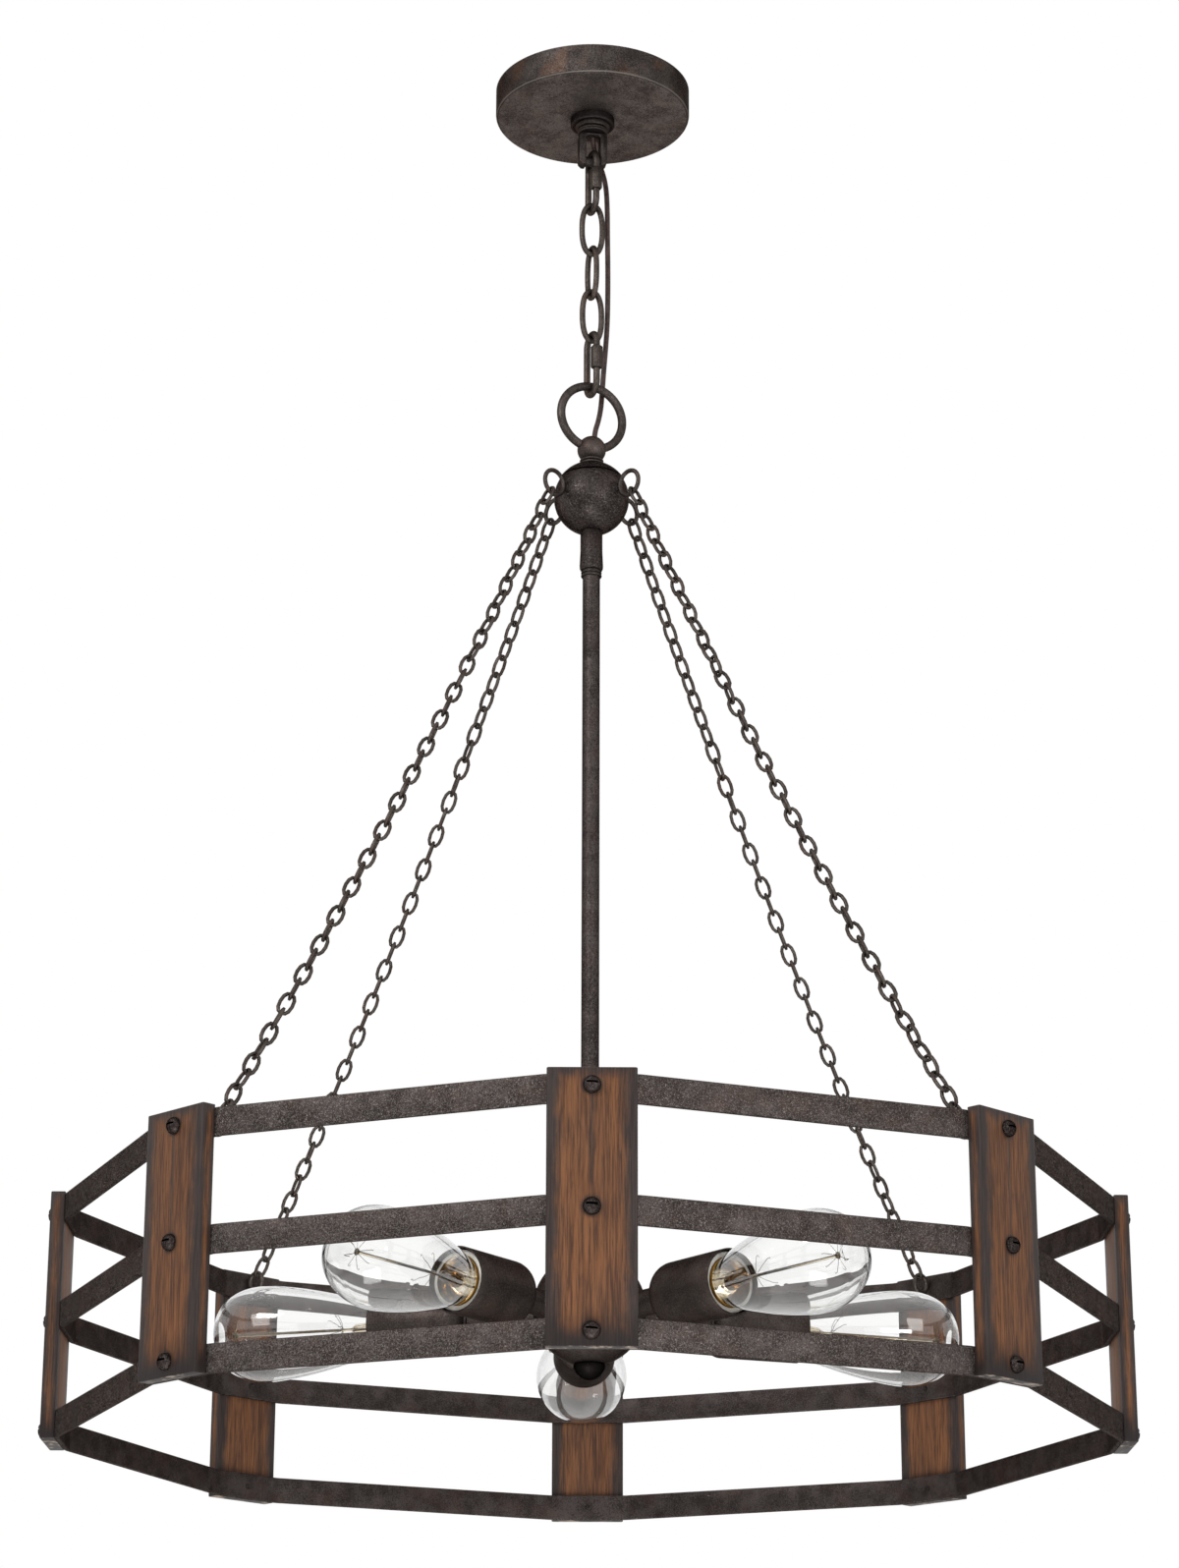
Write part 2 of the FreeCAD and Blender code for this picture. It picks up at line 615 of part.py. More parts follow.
# One lamp lies along local Z, from the arm to the tip of the bulb.
arm_seat = math.sqrt(HUB_RADIUS ** 2 - ARM_RADIUS ** 2) - ARM_SEAT
cup_bore = round_bore(CUP_RADIUS - CUP_WALL, LAMP_SIDES)
arm = turned([(0, arm_seat), (ARM_RADIUS, arm_seat), (ARM_RADIUS, CUP_BACK), (0, CUP_BACK)], 8)
arm_hole = round_bore(ARM_RADIUS + THREAD_CLEAR, 8)
arm_pocket = turned([(0, arm_seat), (arm_hole, arm_seat), (arm_hole, CUP_BACK), (0, CUP_BACK)], 8)
cup = turned([
    (0, CUP_BACK),
    (CUP_RADIUS - CUP_ROUND, CUP_BACK),
    (CUP_RADIUS - CUP_ROUND * 0.3, CUP_BACK + CUP_ROUND * 0.45),
    (CUP_RADIUS, CUP_BACK + CUP_ROUND),
    (CUP_RADIUS, CUP_MOUTH),
    (cup_bore, CUP_MOUTH),
    (cup_bore, SOCKET_BACK - SOCKET_WALL),
    (0, SOCKET_BACK - SOCKET_WALL),
], LAMP_SIDES)
shell_outer = round_bore(SHELL_RADIUS - SHELL_WALL, SOCKET_SIDES) + SHELL_WALL
socket_bore = round_bore(shell_outer + SOCKET_CLEAR, SOCKET_SIDES)
socket_mouth = CUP_MOUTH - SOCKET_RECESS
shell_mouth = CUP_MOUTH - SHELL_RECESS
shell_back = shell_mouth - SHELL_LENGTH
socket_body = turned([
    (0, SOCKET_BACK - SOCKET_WALL),
    (SOCKET_RADIUS, SOCKET_BACK - SOCKET_WALL),
    (SOCKET_RADIUS, socket_mouth),
    (socket_bore, socket_mouth),
    (socket_bore, SOCKET_BACK + SOCKET_WALL),
    (0, SOCKET_BACK + SOCKET_WALL),
], SOCKET_SIDES)
shell_bore = round_bore(SHELL_RADIUS - SHELL_WALL, SOCKET_SIDES)
socket_floor = SOCKET_BACK + SOCKET_WALL
shell = turned([
    (0, socket_floor),
    (shell_outer, socket_floor),
    (shell_outer, shell_mouth),
    (shell_bore, shell_mouth),
    (shell_bore, socket_floor + SHELL_WALL),
    (0, socket_floor + SHELL_WALL),
], SOCKET_SIDES)

# Bulb: screw base, clear pear-shaped glass and the filament on its stem.
base_tip = socket_floor + SHELL_WALL + SOCKET_CLEAR
base_end = BASE_TIP + BASE_LENGTH
bulb_base = turned([
    (0, base_tip),
    (BASE_TIP_RADIUS, base_tip),
    (BASE_RADIUS, BASE_TIP + 4),
    (BASE_RADIUS, base_end),
    (0, base_end),
], SOCKET_SIDES)
swell = BULB_WIDEST - base_end
glass_outer = [
    (BULB_NECK, base_end),
    (BULB_NECK + 0.6, base_end + swell * 0.22),
    (BULB_RADIUS * 0.64, base_end + swell * 0.46),
    (BULB_RADIUS * 0.9, base_end + swell * 0.74),
    (BULB_RADIUS, BULB_WIDEST),
    (BULB_RADIUS * 0.87, BULB_WIDEST + (BULB_TIP - BULB_WIDEST) * 0.5),
    (BULB_RADIUS * 0.5, BULB_WIDEST + (BULB_TIP - BULB_WIDEST) * 0.87),
    (0, BULB_TIP),
]
glass_inner = [(0, BULB_TIP - GLASS_WALL)]
for station in (6, 5, 4, 2, 1, 0):
    radius, height = glass_outer[station]
    glass_inner.append((radius - GLASS_WALL * 1.1, height))
glass = turned(glass_outer + glass_inner, LAMP_SIDES)
stem_top = base_end + STEM_LENGTH
stem = turned([
    (0, base_end),
    (STEM_RADIUS * 1.6, base_end),
    (STEM_RADIUS, base_end + STEM_LENGTH * 0.4),
    (STEM_RADIUS * 0.6, stem_top),
    (0, stem_top),
], 5)
spine = Part.makeBox(2 * SPINE_RADIUS, 2 * SPINE_RADIUS, SPINE_LENGTH - STEM_LENGTH + 1)
spine.translate(V(-SPINE_RADIUS, -SPINE_RADIUS, stem_top - 1))
filament = stem.fuse(spine)
for station, turn in ((stem_top + 4, 0), (base_end + SPINE_LENGTH - 2, 90)):
    arm_wire = Part.makeBox(2 * STAR_REACH, 2 * STAR_WIRE, 2 * STAR_WIRE)
    arm_wire.translate(V(-STAR_REACH, -STAR_WIRE, station - STAR_WIRE))
    arm_wire.rotate(V(0, 0, 0), UP, turn)
    filament = filament.fuse(arm_wire)
filament = filament.removeSplitter()

groups = {"lamp_arms": [], "lamp_cups": [], "socket_bodies": [], "socket_shells": []}
lamp_axis = UP * LAMP_AXIS
for number in range(LAMP_COUNT):
    outwards = unit(90 + 360.0 * number / LAMP_COUNT + LAMP_YAW)
    hub = hub.cut(placed(arm_pocket, lamp_axis, UP, outwards))
    groups["lamp_arms"].append(placed(arm, lamp_axis, UP, outwards))
    groups["lamp_cups"].append(placed(cup, lamp_axis, UP, outwards))
    groups["socket_bodies"].append(placed(socket_body, lamp_axis, UP, outwards))
    groups["socket_shells"].append(placed(shell, lamp_axis, UP, outwards))
    parts["bulb_glass_%d" % (number + 1)] = placed(glass, lamp_axis, UP, outwards)
    parts["bulb_base_%d" % (number + 1)] = placed(bulb_base, lamp_axis, UP, outwards)
    parts["bulb_filament_%d" % (number + 1)] = placed(filament, lamp_axis, UP, outwards)
parts["hub"] = hub
for name, solids in groups.items():
    parts[name] = Part.makeCompound(solids)

# Hoops: flat steel bands, bent at both edges of every stave.
band_outer = STAVE_OUTER - STAVE_THICK
band_inner = band_outer - HOOP_THICK
bend = STAVE_WIDTH / 2 + HOOP_BEND_MARGIN
stave_angle = 360.0 / STAVE_COUNT
screw_corner = SCREW_RADIUS * math.sqrt(math.pi / 2)
hole_half = SCREW_RADIUS * math.sqrt(math.pi) / 2 + SCREW_CLEAR


def stave_frame(index):
    azimuth = 270.0 + stave_angle * index
    return unit(azimuth), unit(azimuth + 90)


def band_points(radius, half_flat, height):
    points = []
    for index in range(STAVE_COUNT):
        outwards, along = stave_frame(index)
        for side in (-1, 1):
            points.append(outwards * radius + along * (half_flat * side) + UP * height)
    return points


screw_hole = Part.makeBox(2 * hole_half, 2 * hole_half, 3 * STAVE_THICK)
screw_hole.translate(V(-hole_half, -hole_half, band_inner - STAVE_THICK))
corner_turn = math.tan(math.radians(stave_angle / 4))
for number, name in enumerate(("top_hoop", "middle_hoop", "bottom_hoop")):
    height = HOOP_TOP_MIDDLE - HOOP_PITCH * number
    low = height - HOOP_HEIGHT / 2
    outer = flat(band_points(band_outer, bend, low))
    inner = flat(band_points(band_inner, bend - HOOP_THICK * corner_turn, low))
    hoop = outer.cut(inner).extrude(UP * HOOP_HEIGHT)
    for index in range(STAVE_COUNT):
        outwards, along = stave_frame(index)
        hoop = hoop.cut(placed(screw_hole, UP * height, UP, outwards))
    parts[name] = hoop

# Staves: eight upright boards outside the hoops, the burnished edges broken.
stave_top = HOOP_TOP_MIDDLE + HOOP_HEIGHT / 2 + STAVE_ABOVE
stave_low = stave_top - STAVE_HEIGHT
half = STAVE_WIDTH / 2
board_outline = [(half, 0), (half, STAVE_THICK - STAVE_CHAMFER), (half - STAVE_CHAMFER, STAVE_THICK),
                 (STAVE_CHAMFER - half, STAVE_THICK), (-half, STAVE_THICK - STAVE_CHAMFER), (-half, 0)]
STAVE_NAMES = ("front", "front_right", "right", "back_right", "back", "back_left", "left", "front_left")
for index in range(STAVE_COUNT):
    outwards, along = stave_frame(index)
    points = []
    for across, out in board_outline:
        points.append(outwards * (band_outer + out) + along * across + UP * stave_low)
    board = flat(points).extrude(UP * STAVE_HEIGHT)
    for number in range(3):
        height = HOOP_TOP_MIDDLE - HOOP_PITCH * number
        board = board.cut(placed(screw_hole, UP * height, UP, outwards))
    parts["stave_" + STAVE_NAMES[index]] = board

# Screws: round heads on the boards, square-cut shanks flush inside the hoops.
head = turned([
    (0, STAVE_OUTER),
    (HEAD_RADIUS, STAVE_OUTER),
    (HEAD_RADIUS, STAVE_OUTER + HEAD_HEIGHT - HEAD_CHAMFER),
    (HEAD_RADIUS - HEAD_CHAMFER, STAVE_OUTER + HEAD_HEIGHT),
    (0, STAVE_OUTER + HEAD_HEIGHT),
], HEAD_SIDES)
shank_half = hole_half - SCREW_CLEAR
shank = Part.makeBox(2 * shank_half, 2 * shank_half, STAVE_OUTER - band_inner)
shank.translate(V(-shank_half, -shank_half, band_inner))
screw = head.fuse(shank).removeSplitter()
screws = []
for number in range(3):
    height = HOOP_TOP_MIDDLE - HOOP_PITCH * number
    for index in range(STAVE_COUNT):
        outwards, along = stave_frame(index)
        screws.append(placed(screw, UP * height, UP, outwards))
parts["stave_screws"] = Part.makeCompound(screws)

# Hoop eyes: small rings on the inner face of the top hoop.
hoop_eye_radius = (HOOP_EYE_OUTER - EYE_WIRE) / 2
hoop_eye_height = HOOP_TOP_MIDDLE + HOOP_HEIGHT / 2 + HOOP_EYE_PROUD - HOOP_EYE_OUTER / 2
hoop_eye = bent_wire(ring_path(hoop_eye_radius, EYE_STEPS), eye_section)
hoop_eye_reach = band_inner - hoop_eye_radius - eye_section[0][0]
EYE_PLACES = {
    "front_left": (7, 225, FRONT_EYE_OFFSET),
    "front_right": (1, 315, -FRONT_EYE_OFFSET),
    "back_right": (3, 45, -BACK_EYE_OFFSET),
    "back_left": (5, 135, BACK_EYE_OFFSET),
}
hoop_eyes = []
centres = {}
for name, (index, azimuth, offset) in EYE_PLACES.items():
    outwards, along = stave_frame(index)
    origin = outwards * hoop_eye_reach + along * offset + UP * hoop_eye_height
    centres[name] = origin
    hoop_eyes.append(placed(hoop_eye, origin, outwards, UP))
parts["hoop_eyes"] = Part.makeCompound(hoop_eyes)

# Side chains: each link hooks the next, a quarter turn apart, in a slight sag.
side_inner = SIDE_PITCH + HOOK_CLEAR
end_flat = SIDE_FLAT / 2
side_waist = (SIDE_WIDTH - SIDE_WIRE) / 2


def smooth(value):
    value = min(max(value, 0.0), 1.0)
    return value * value * (3 - 2 * value)


def side_link(pitch):
    tall = (pitch + HOOK_CLEAR + SIDE_WIRE) / 2
    path = [(side_waist, 0), (end_flat, tall), (-end_flat, tall),
            (-side_waist, 0), (-end_flat, -tall), (end_flat, -tall)]
    half_wire = SIDE_WIRE / 2
    return bent_wire(path, [(-half_wire, -half_wire), (half_wire, 0), (-half_wire, half_wire)])


for name, (index, azimuth, offset) in EYE_PLACES.items():
    upper = unit(azimuth) * EYE_REACH + UP * eye_height
    lower = centres[name]
    line = (lower - upper).normalize()
    start = upper + line * eye_radius
    stop = lower - line * hoop_eye_radius
    span = (stop - start).Length
    sideways = line.cross(UP).normalize()
    inwards = line.cross(sideways).normalize()
    if inwards.z > 0:
        inwards = inwards * -1
    run = span * (1 + 8.0 / 3.0 * (SIDE_SAG / span) ** 2)
    reach = run + EYE_WIRE + HOOK_CLEAR
    count = int(round(reach / SIDE_PITCH))
    count += 1 - count % 2
    pitch = reach / count
    one = side_link(pitch)
    first = (pitch + HOOK_CLEAR + SIDE_WIRE) / 2 - (EYE_WIRE + SIDE_WIRE) / 2 - HOOK_CLEAR
    links = []
    for k in range(count):
        t = (first + pitch * k) / run
        spot = start + line * (span * t) + inwards * (SIDE_SAG * 4 * t * (1 - t))
        along = (line * span + inwards * (SIDE_SAG * 4 * (1 - 2 * t))).normalize()
        into = smooth((k - TWIST_LINKS) / float(TWIST_LINKS))
        out_of = smooth((count - 1 - k) / float(TWIST_LINKS + 2))
        twist = SIDE_TWIST * into * out_of + 90.0 * (k % 2)
        across = sideways - along * sideways.dot(along)
        across = across.normalize()
        other = along.cross(across)
        turn = math.radians(twist)
        ex = across * math.cos(turn) + other * math.sin(turn)
        links.append(placed(one, spot, ex, along))
    parts["side_chain_" + name] = Part.makeCompound(links)
    print("side chain", name, "links", count, "pitch", round(pitch, 3), "span", round(span, 1))


# Cord tube: straight runs joined by tangent arcs, the arcs in short steps.
def cord_line(route):
    points = [V(*p) for p in route]
    line = [points[0]]
    radii = []
    for i in range(1, len(points) - 1):
        before = points[i - 1] - points[i]
        after = points[i + 1] - points[i]
        shorter = min(before.Length, after.Length)
        turn = math.pi - before.getAngle(after)
        radius = 0.45 * shorter / math.tan(turn / 2)
        radii.append(radius)
        a = points[i] + before.normalize() * (0.45 * shorter)
        b = points[i] + after.normalize() * (0.45 * shorter)
        steps = max(1, int(math.ceil(math.degrees(turn) / 18.0)))
        if steps == 1:
            line += [a, b]
            continue
        bisector = (before + after).normalize()
        centre = points[i] + bisector * math.sqrt(radius ** 2 + (0.45 * shorter) ** 2)
        line.append(a)
        for k in range(1, steps):
            mix = (a - centre) * (1 - float(k) / steps) + (b - centre) * (float(k) / steps)
            line.append(centre + mix.normalize() * radius)
        line.append(b)
    line.append(points[-1])
    return line, radii


line, radii = cord_line(CORD_ROUTE)
length = sum((line[i + 1] - line[i]).Length for i in range(len(line) - 1))
cord = tube(line, CORD_RADIUS, CORD_SIDES)
parts["cord"] = cord
print("cord length", round(length, 1), "radii", [round(r, 1) for r in radii])
print("cord volume", round(cord.Volume, 1), "section x length", round(math.pi * CORD_RADIUS ** 2 * length, 1))

os.makedirs("parts", exist_ok=True)
for old in os.listdir("parts"):
    if old.endswith(".step"):
        os.remove(os.path.join("parts", old))
for name, shape in parts.items():
    shape.exportStep("parts/%s.step" % name)
    if not shape.isValid():
        print("not valid", name)
print(len(parts), "parts")
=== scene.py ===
import math

import bmesh
import bpy
from mathutils import Matrix, Vector


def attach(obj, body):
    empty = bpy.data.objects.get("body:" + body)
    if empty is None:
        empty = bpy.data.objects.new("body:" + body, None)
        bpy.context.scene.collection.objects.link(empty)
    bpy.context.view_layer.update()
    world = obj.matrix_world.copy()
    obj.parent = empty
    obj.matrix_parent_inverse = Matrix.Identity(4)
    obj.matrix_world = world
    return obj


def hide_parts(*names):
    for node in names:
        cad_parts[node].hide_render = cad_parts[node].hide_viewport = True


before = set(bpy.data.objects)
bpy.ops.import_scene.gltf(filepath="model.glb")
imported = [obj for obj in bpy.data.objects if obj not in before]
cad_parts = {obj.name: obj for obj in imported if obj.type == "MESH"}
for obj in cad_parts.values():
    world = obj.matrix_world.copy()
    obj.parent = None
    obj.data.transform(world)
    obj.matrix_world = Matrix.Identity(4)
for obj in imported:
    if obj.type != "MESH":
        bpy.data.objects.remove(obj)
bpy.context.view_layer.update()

# Ceiling plate: a zinc-plated steel bar across the outlet box, a hollow threaded
# nipple through its middle and a hex locknut under it. The canopy hides them; the
# nipple screws in, and two machine screws hold the bar through its slots.


def fill_inputs(tree, node, values):
    """Each input of the node gets a value, or a link from another node's socket."""
    for label, value in values.items():
        if isinstance(value, bpy.types.NodeSocket):
            tree.links.new(value, node.inputs[label])
        else:
            node.inputs[label].default_value = value


def add_node(tree, kind, values=None, **settings):
    node = tree.nodes.new("ShaderNode" + kind)
    for name, value in settings.items():
        setattr(node, name, value)
    fill_inputs(tree, node, values or {})
    return node


def speckle(tree, place, scale, detail=3.0, rough=0.55, twist=0.0):
    return add_node(tree, "TexNoise", {"Vector": place, "Scale": scale, "Detail": detail,
                                       "Roughness": rough, "Distortion": twist}).outputs[0]


def between(tree, value, low, high, start=0.0, end=1.0):
    return add_node(tree, "MapRange", {"Value": value, "From Min": low, "From Max": high,
                                       "To Min": start, "To Max": end},
                    interpolation_type="SMOOTHSTEP").outputs[0]


def over(tree, share, under, upper):
    return add_node(tree, "Mix", {0: share, 6: under, 7: upper}, data_type="RGBA").outputs[2]


def sums(tree, operation, first, second=0.0):
    return add_node(tree, "Math", {0: first, 1: second}, operation=operation).outputs[0]


def paint(red, green, blue):
    """A colour as it is read on a screen, made linear for the shader."""
    line = [(c / 255 + 0.055) / 1.055 for c in (red, green, blue)]
    return tuple(max(c, 0.052) ** 2.4 for c in line) + (1.0,)


def roughen(tree, shader, height, strength, distance):
    """A bump from the height, on the normal of the material's shader."""
    bump = add_node(tree, "Bump", {"Height": height, "Strength": strength, "Distance": distance})
    tree.links.new(bump.outputs[0], shader["Normal"])


def new_group(name, inputs, outputs):
    tree = bpy.data.node_groups.new(name, "ShaderNodeTree")
    for label, kind in inputs:
        tree.interface.new_socket(label, in_out="INPUT", socket_type="NodeSocket" + kind)
    for label, kind in outputs:
        tree.interface.new_socket(label, in_out="OUTPUT", socket_type="NodeSocket" + kind)
    return tree, tree.nodes.new("NodeGroupInput").outputs, tree.nodes.new("NodeGroupOutput").inputs


def use_group(tree, group, values):
    node = tree.nodes.new("ShaderNodeGroup")
    node.node_tree = group
    fill_inputs(tree, node, values)
    return node.outputs


def new_material(name, values):
    material = bpy.data.materials.new(name)
    material.use_nodes = True
    tree = material.node_tree
    shader = tree.nodes["Principled BSDF"]
    for label, value in values.items():
        shader.inputs[label].default_value = value
    return material, tree, shader.inputs, add_node(tree, "TexCoord").outputs["Object"]


def arc(middle, radius, first, last, steps):
    """Points (radius, height) on a round, its angles counted from the horizontal."""
    turns = [math.radians(first + (last - first) * i / steps) for i in range(steps + 1)]
    return [(middle[0] + radius * math.cos(t), middle[1] + radius * math.sin(t)) for t in turns]


def turned(outline, steps=64):
    """An outline of (radius, height) in millimetres spun round the upright axis."""
    bm = bmesh.new()
    verts = [bm.verts.new((radius, 0, height)) for radius, height in outline]
    edges = [bm.edges.new(pair) for pair in zip(verts, verts[1:])]
    bmesh.ops.spin(bm, geom=verts + edges, cent=(0, 0, 0), axis=(0, 0, 1), dvec=(0, 0, 0),
                   angle=math.tau, steps=steps, use_merge=True, use_duplicate=False)
    bmesh.ops.remove_doubles(bm, verts=bm.verts, dist=0.001)
    bmesh.ops.dissolve_degenerate(bm, edges=bm.edges, dist=0.0005)
    return bm


def soften(bm, width, segments=2, above=30.0):
    """Rounds every edge that turns by more than the given angle."""
    sharp = [e for e in bm.edges
             if len(e.link_faces) == 2 and e.calc_face_angle(0.0) > math.radians(above)]
    bmesh.ops.bevel(bm, geom=sharp, offset=width, offset_type="OFFSET", segments=segments,
                    profile=0.5, affect="EDGES", clamp_overlap=True, material=-1)


def standing(origin, across, along):
    """The place of a piece made upright: its X turned to across and its Z to along."""
    side = along.cross(across)
    place = Matrix((across, side, along)).transposed().to_4x4()
    place.translation = origin
    return place


def compass(azimuth):
    return Vector((math.cos(math.radians(azimuth)), math.sin(math.radians(azimuth)), 0.0))


UP = Vector((0, 0, 1))


def copies(master, places):
    """The master shape repeated at each place, in one mesh."""
    shape = bpy.data.meshes.new("shape")
    master.to_mesh(shape)
    master.free()
    bm = bmesh.new()
    for place in places:
        known = len(bm.verts)
        bm.from_mesh(shape)
        bm.verts.ensure_lookup_table()
        bmesh.ops.transform(bm, matrix=place, verts=bm.verts[known:])
    bpy.data.meshes.remove(shape)
    return bm


def finish(name, bm, material, body, slot, *nodes, crease=35.0):
    """Turns the shape into a piece in metres that rides on its body for its CAD nodes."""
    bmesh.ops.recalc_face_normals(bm, faces=bm.faces)
    for face in bm.faces:
        face.smooth = True
    for edge in bm.edges:
        edge.smooth = len(edge.link_faces) == 2 and edge.calc_face_angle(0.0) < math.radians(crease)
    bmesh.ops.scale(bm, vec=(0.001, 0.001, 0.001), verts=bm.verts)
    mesh = bpy.data.meshes.new(name)
    bm.to_mesh(mesh)
    bm.free()
    mesh.materials.append(material)
    piece = bpy.data.objects.new(name, mesh)
    bpy.context.scene.collection.objects.link(piece)
    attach(piece, body)
    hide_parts(*nodes)
    return piece


zinc, tree, shader, place = new_material("zinc_plate", {"Metallic": 1.0})
spangle = speckle(tree, place, 240.0, 2.0)
fine = speckle(tree, place, 1500.0, 2.0)
tree.links.new(over(tree, between(tree, spangle, 0.35, 0.65), paint(150, 150, 146),
                    paint(196, 197, 193)), shader["Base Color"])
tree.links.new(between(tree, fine, 0.3, 0.7, 0.28, 0.5), shader["Roughness"])
roughen(tree, shader, fine, 0.15, 0.0001)
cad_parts["ceiling_crossbar"].data.materials.clear()
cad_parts["ceiling_crossbar"].data.materials.append(zinc)

threads = [(5.0 - 0.35 * (i % 2), -0.2 - 0.5 * i) for i in range(48)]
nipple = turned([(3.25, -24.0), (3.25, 0.0), (4.7, 0.0)] + threads
                + [(4.7, -24.0), (3.25, -24.0)], 32)
finish("nipple_tube", nipple, zinc, "ceiling_mount", "zinc_steel", "threaded_nipple")
locknut = turned([(5.9, -5.5), (5.9, -2.0), (7.6, -2.0), (8.08, -2.5), (8.08, -5.0), (7.6, -5.5),
                  (5.9, -5.5)], 6)
finish("locknut_hex", locknut, zinc, "ceiling_mount", "zinc_steel", "nipple_locknut")

# Canopy: a spun steel dish, powder coated dark bronze with a fine grain and rust
# brown rubbed along its wall. It slides down the neck; the collar clamps it up.
mottled_iron, given, made = new_group(
    "mottled_iron",
    [("Place", "Vector"), ("Base", "Color"), ("Shade", "Color"), ("Rust", "Color"),
     ("Fleck", "Color"), ("Grain Scale", "Float"), ("Rust Share", "Float"), ("Fleck Share", "Float")],
    [("Colour", "Color"), ("Roughness", "Float"), ("Height", "Float")])
grain_scale = given["Grain Scale"]
fine = speckle(mottled_iron, given["Place"], grain_scale, 3.0, 0.65)
cloud = speckle(mottled_iron, given["Place"],
                sums(mottled_iron, "MULTIPLY", grain_scale, 0.07), 3.0)
patch = speckle(mottled_iron, given["Place"], 55.0, 4.0, 0.6)
worm = speckle(mottled_iron, given["Place"],
               sums(mottled_iron, "MULTIPLY", grain_scale, 0.6), 2.0, 0.5, 0.8)
worm = sums(mottled_iron, "ABSOLUTE", sums(mottled_iron, "SUBTRACT", worm, 0.5))
worm = between(mottled_iron, worm, 0.008, 0.042, 1.0, 0.0)
mixed = sums(mottled_iron, "ADD", sums(mottled_iron, "MULTIPLY", fine, 0.6),
             sums(mottled_iron, "MULTIPLY", cloud, 0.4))
colour = over(mottled_iron, between(mottled_iron, mixed, 0.4, 0.6), given["Shade"], given["Base"])
colour = over(mottled_iron, sums(mottled_iron, "MULTIPLY", between(mottled_iron, patch, 0.5, 0.66),
                                 given["Rust Share"]), colour, given["Rust"])
fleck = sums(mottled_iron, "MULTIPLY", sums(mottled_iron, "MULTIPLY", worm, given["Fleck Share"]),
             between(mottled_iron, fine, 0.34, 0.56))
mottled_iron.links.new(over(mottled_iron, fleck, colour, given["Fleck"]), made["Colour"])
mottled_iron.links.new(between(mottled_iron, mixed, 0.35, 0.65, 0.56, 0.4), made["Roughness"])
mottled_iron.links.new(sums(mottled_iron, "ADD", fine, sums(mottled_iron, "MULTIPLY", worm, 0.5)),
                       made["Height"])


def iron_finish(name, base, shade, rust=(98, 66, 46), fleck=(150, 142, 136), grain=1500.0,
                rust_share=0.25, fleck_share=0.15, relief=0.35, tint=0.25, outside=None, highlight_band=None,
                slot_shade=None, under=None, gloss=0.0):
    """Coated iron. Heights are in metres: rust_share may be a range of heights with its two
    shares, highlight_band is a painted highlight line between two heights, under lifts the
    colour below a height as painted light. outside is the fleck share on faces turned inwards,
    fewer than the painted highlight flecks outside; slot_shade names an attribute of faces
    painted near black as shade."""
    material, tree, shader, place = new_material(
        name, {"Metallic": 1.0, "Specular Tint": (tint, tint * 0.92, tint * 0.88, 1.0)})
    height = add_node(tree, "SeparateXYZ", {0: place}).outputs[2]
    if not isinstance(rust_share, float):
        rust_share = between(tree, height, *rust_share)
    # Fewer pale flecks on faces turned inwards than on outward ones: the extra flecks outside are
    # painted highlight.
    if outside is not None:
        normal = add_node(tree, "NewGeometry").outputs["Normal"]
        facing = add_node(tree, "VectorMath", {0: place, 1: normal},
                          operation="DOT_PRODUCT").outputs["Value"]
        fleck_share = between(tree, facing, -0.02, 0.1, outside, fleck_share)
    iron = use_group(tree, mottled_iron, {
        "Place": place, "Base": paint(*base), "Shade": paint(*shade), "Rust": paint(*rust),
        "Fleck": paint(*fleck), "Grain Scale": grain, "Rust Share": rust_share,
        "Fleck Share": fleck_share})
    colour = iron["Colour"]
    # A pale line painted between two heights: a painted highlight along a rounded rim.
    if highlight_band is not None:
        low, high = highlight_band
        line = sums(tree, "MULTIPLY", between(tree, height, low, low + 0.0004),
                    between(tree, height, high - 0.0004, high, 0.75, 0.0))
        colour = over(tree, line, colour, paint(118, 110, 104))
    # Faces marked by the attribute are painted near black: painted shade in a recess.
    if slot_shade is not None:
        depth = add_node(tree, "Attribute", attribute_name=slot_shade).outputs["Fac"]
        colour = over(tree, depth, colour, paint(12, 10, 9))
    # Below the given height the colour is multiplied brighter: painted light on the underside.
    if under is not None:
        level, lift = under
        colour = over(tree, between(tree, height, level, level + 0.0004, 1.0, 0.0), colour,
                      add_node(tree, "Mix", {0: 1.0, 6: colour, 7: (lift, lift, lift, 1.0)},
                               data_type="RGBA", blend_type="MULTIPLY").outputs[2])
    tree.links.new(colour, shader["Base Color"])
    tree.links.new(sums(tree, "SUBTRACT", iron["Roughness"], gloss), shader["Roughness"])
    roughen(tree, shader, iron["Height"], relief, 0.0002)
    return material


# The canopy coat has a painted highlight line along its rounded lower rim, and its underside is
# lightened as painted light.
canopy_coat = iron_finish("canopy_coat", (76, 70, 67), (48, 43, 42), (88, 64, 50), grain=1100.0,
                          rust_share=(-0.0195, -0.0175, 0.08, 0.42), fleck_share=0.12,
                          highlight_band=(-0.0199, -0.0188), under=(-0.0204, 2.2))
dish = turned([(65.0, 0.0)] + arc((62.2, -17.7), 2.8, 0, -90, 6) + [(12.3, -20.5), (12.3, -19.3)]
              + arc((62.2, -17.7), 1.6, -90, 0, 4) + [(63.8, 0.0), (65.0, 0.0)], 128)
finish("canopy_dish", dish, canopy_coat, "canopy", "dark_bronze", "canopy")
collar = turned([(11.95, -20.5), (14.75, -20.5)] + arc((13.75, -25.0), 1.0, 0, -90, 4)
                + [(13.1, -26.0), (12.7, -25.4), (11.95, -25.4), (11.95, -20.5)], 72)
collar_coat = iron_finish("collar_coat", (60, 54, 52), (42, 38, 37), rust_share=0.1)
finish("canopy_clamp_collar", collar, collar_coat, "collar", "dark_bronze", "canopy_collar")

